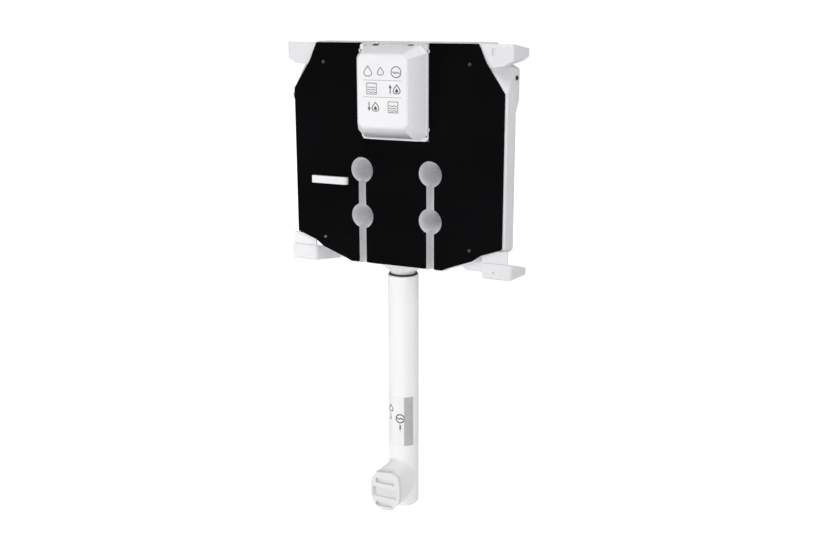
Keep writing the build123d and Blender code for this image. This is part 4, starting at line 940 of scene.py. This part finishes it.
ridge_path_r = THREAD_R - RIDGE_INSET - RIDGE_SIZE
ridge_count = int((nut_low.x - fitting_low.x - 2 * RIDGE_SIZE) / THREAD_PITCH) + 1
ridges = Tree(
    "thread_ridges", Count=ridge_count, Pitch=THREAD_PITCH, Radius=ridge_path_r, Size=RIDGE_SIZE)
ridge_path = ridges.add(
    "GeometryNodeCurvePrimitiveCircle", {"Resolution": CIRCLE_STEPS}, Radius=ridges.given("Radius"))
ridge_profile = ridges.add(
    "GeometryNodeCurvePrimitiveCircle", {"Resolution": RIDGE_CORNERS}, Radius=ridges.given("Size"))
ridge = ridges.add("GeometryNodeCurveToMesh", Curve=ridge_path, Profile_Curve=ridge_profile)
ridge_step = ridges.add("ShaderNodeCombineXYZ", Z=ridges.given("Pitch"))
ridge_line = ridges.add(
    "GeometryNodeMeshLine", {"mode": "OFFSET"}, Count=ridges.given("Count"), Offset=ridge_step)
ridge_row = ridges.add("GeometryNodeInstanceOnPoints", Points=ridge_line, Instance=ridge)
ridges.finish(ridge_row, node_slots["inlet_fitting"])
thread_start = Matrix.Translation((fitting_low.x + RIDGE_SIZE, inlet_y, inlet_z))
thread = ridges.make(
    "inlet_ridges", thread_start @ Matrix.Rotation(math.pi / 2, 4, "Y"),
    Count=ridge_count, Pitch=THREAD_PITCH, Radius=ridge_path_r, Size=RIDGE_SIZE)
finished(core, node_slots["inlet_fitting"], "base", "inlet_fitting")
finished(thread, node_slots["inlet_fitting"], "base")


# Cross recesses cut into the service frame's four screw heads

RECESS_WIDTH = 0.9 * MM
RECESS_LENGTH = 3.6 * MM
RECESS_DEPTH = 1.2 * MM
HEAD_R = 3.2 * MM

screws_low, screws_high = (Vector(corner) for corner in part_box("frame_screws"))
screws_middle = (screws_low + screws_high) / 2
screws_apart = screws_high - screws_low - Vector((2 * HEAD_R, 0.0, 2 * HEAD_R))
cross_sizes = {
    "Across": screws_apart.x, "Down": screws_apart.z,
    "Width": RECESS_WIDTH, "Length": RECESS_LENGTH, "Depth": 2 * RECESS_DEPTH,
}
crosses = Tree("cross_recesses", **cross_sizes)
bars = []
for long_axis, short_axis in (("X", "Y"), ("Y", "X")):
    spans = {long_axis: crosses.given("Length"), short_axis: crosses.given("Width")}
    bar_size = crosses.add("ShaderNodeCombineXYZ", Z=crosses.given("Depth"), **spans)
    bars.append(crosses.add("GeometryNodeMeshCube", Size=bar_size))
cross = crosses.add("GeometryNodeJoinGeometry", Geometry=bars)
corners = crosses.add(
    "GeometryNodeMeshGrid", {"Vertices X": 2, "Vertices Y": 2},
    Size_X=crosses.given("Across"), Size_Y=crosses.given("Down"))
cross_grid = crosses.add("GeometryNodeInstanceOnPoints", Points=corners, Instance=cross)
crosses.finish(cross_grid, node_slots["frame_screws"])
heads_place = Matrix.Translation((screws_middle.x, screws_low.y, screws_middle.z))
heads_turn = heads_place @ Matrix.Rotation(math.pi / 2, 4, "X")
recesses = crosses.make("recess_forms", heads_turn, **cross_sizes)
heads = merged_copy("screw_heads", "frame_screws")
cut_away(heads, recesses, crossing=True)
finished(heads, node_slots["frame_screws"], "base", "frame_screws")
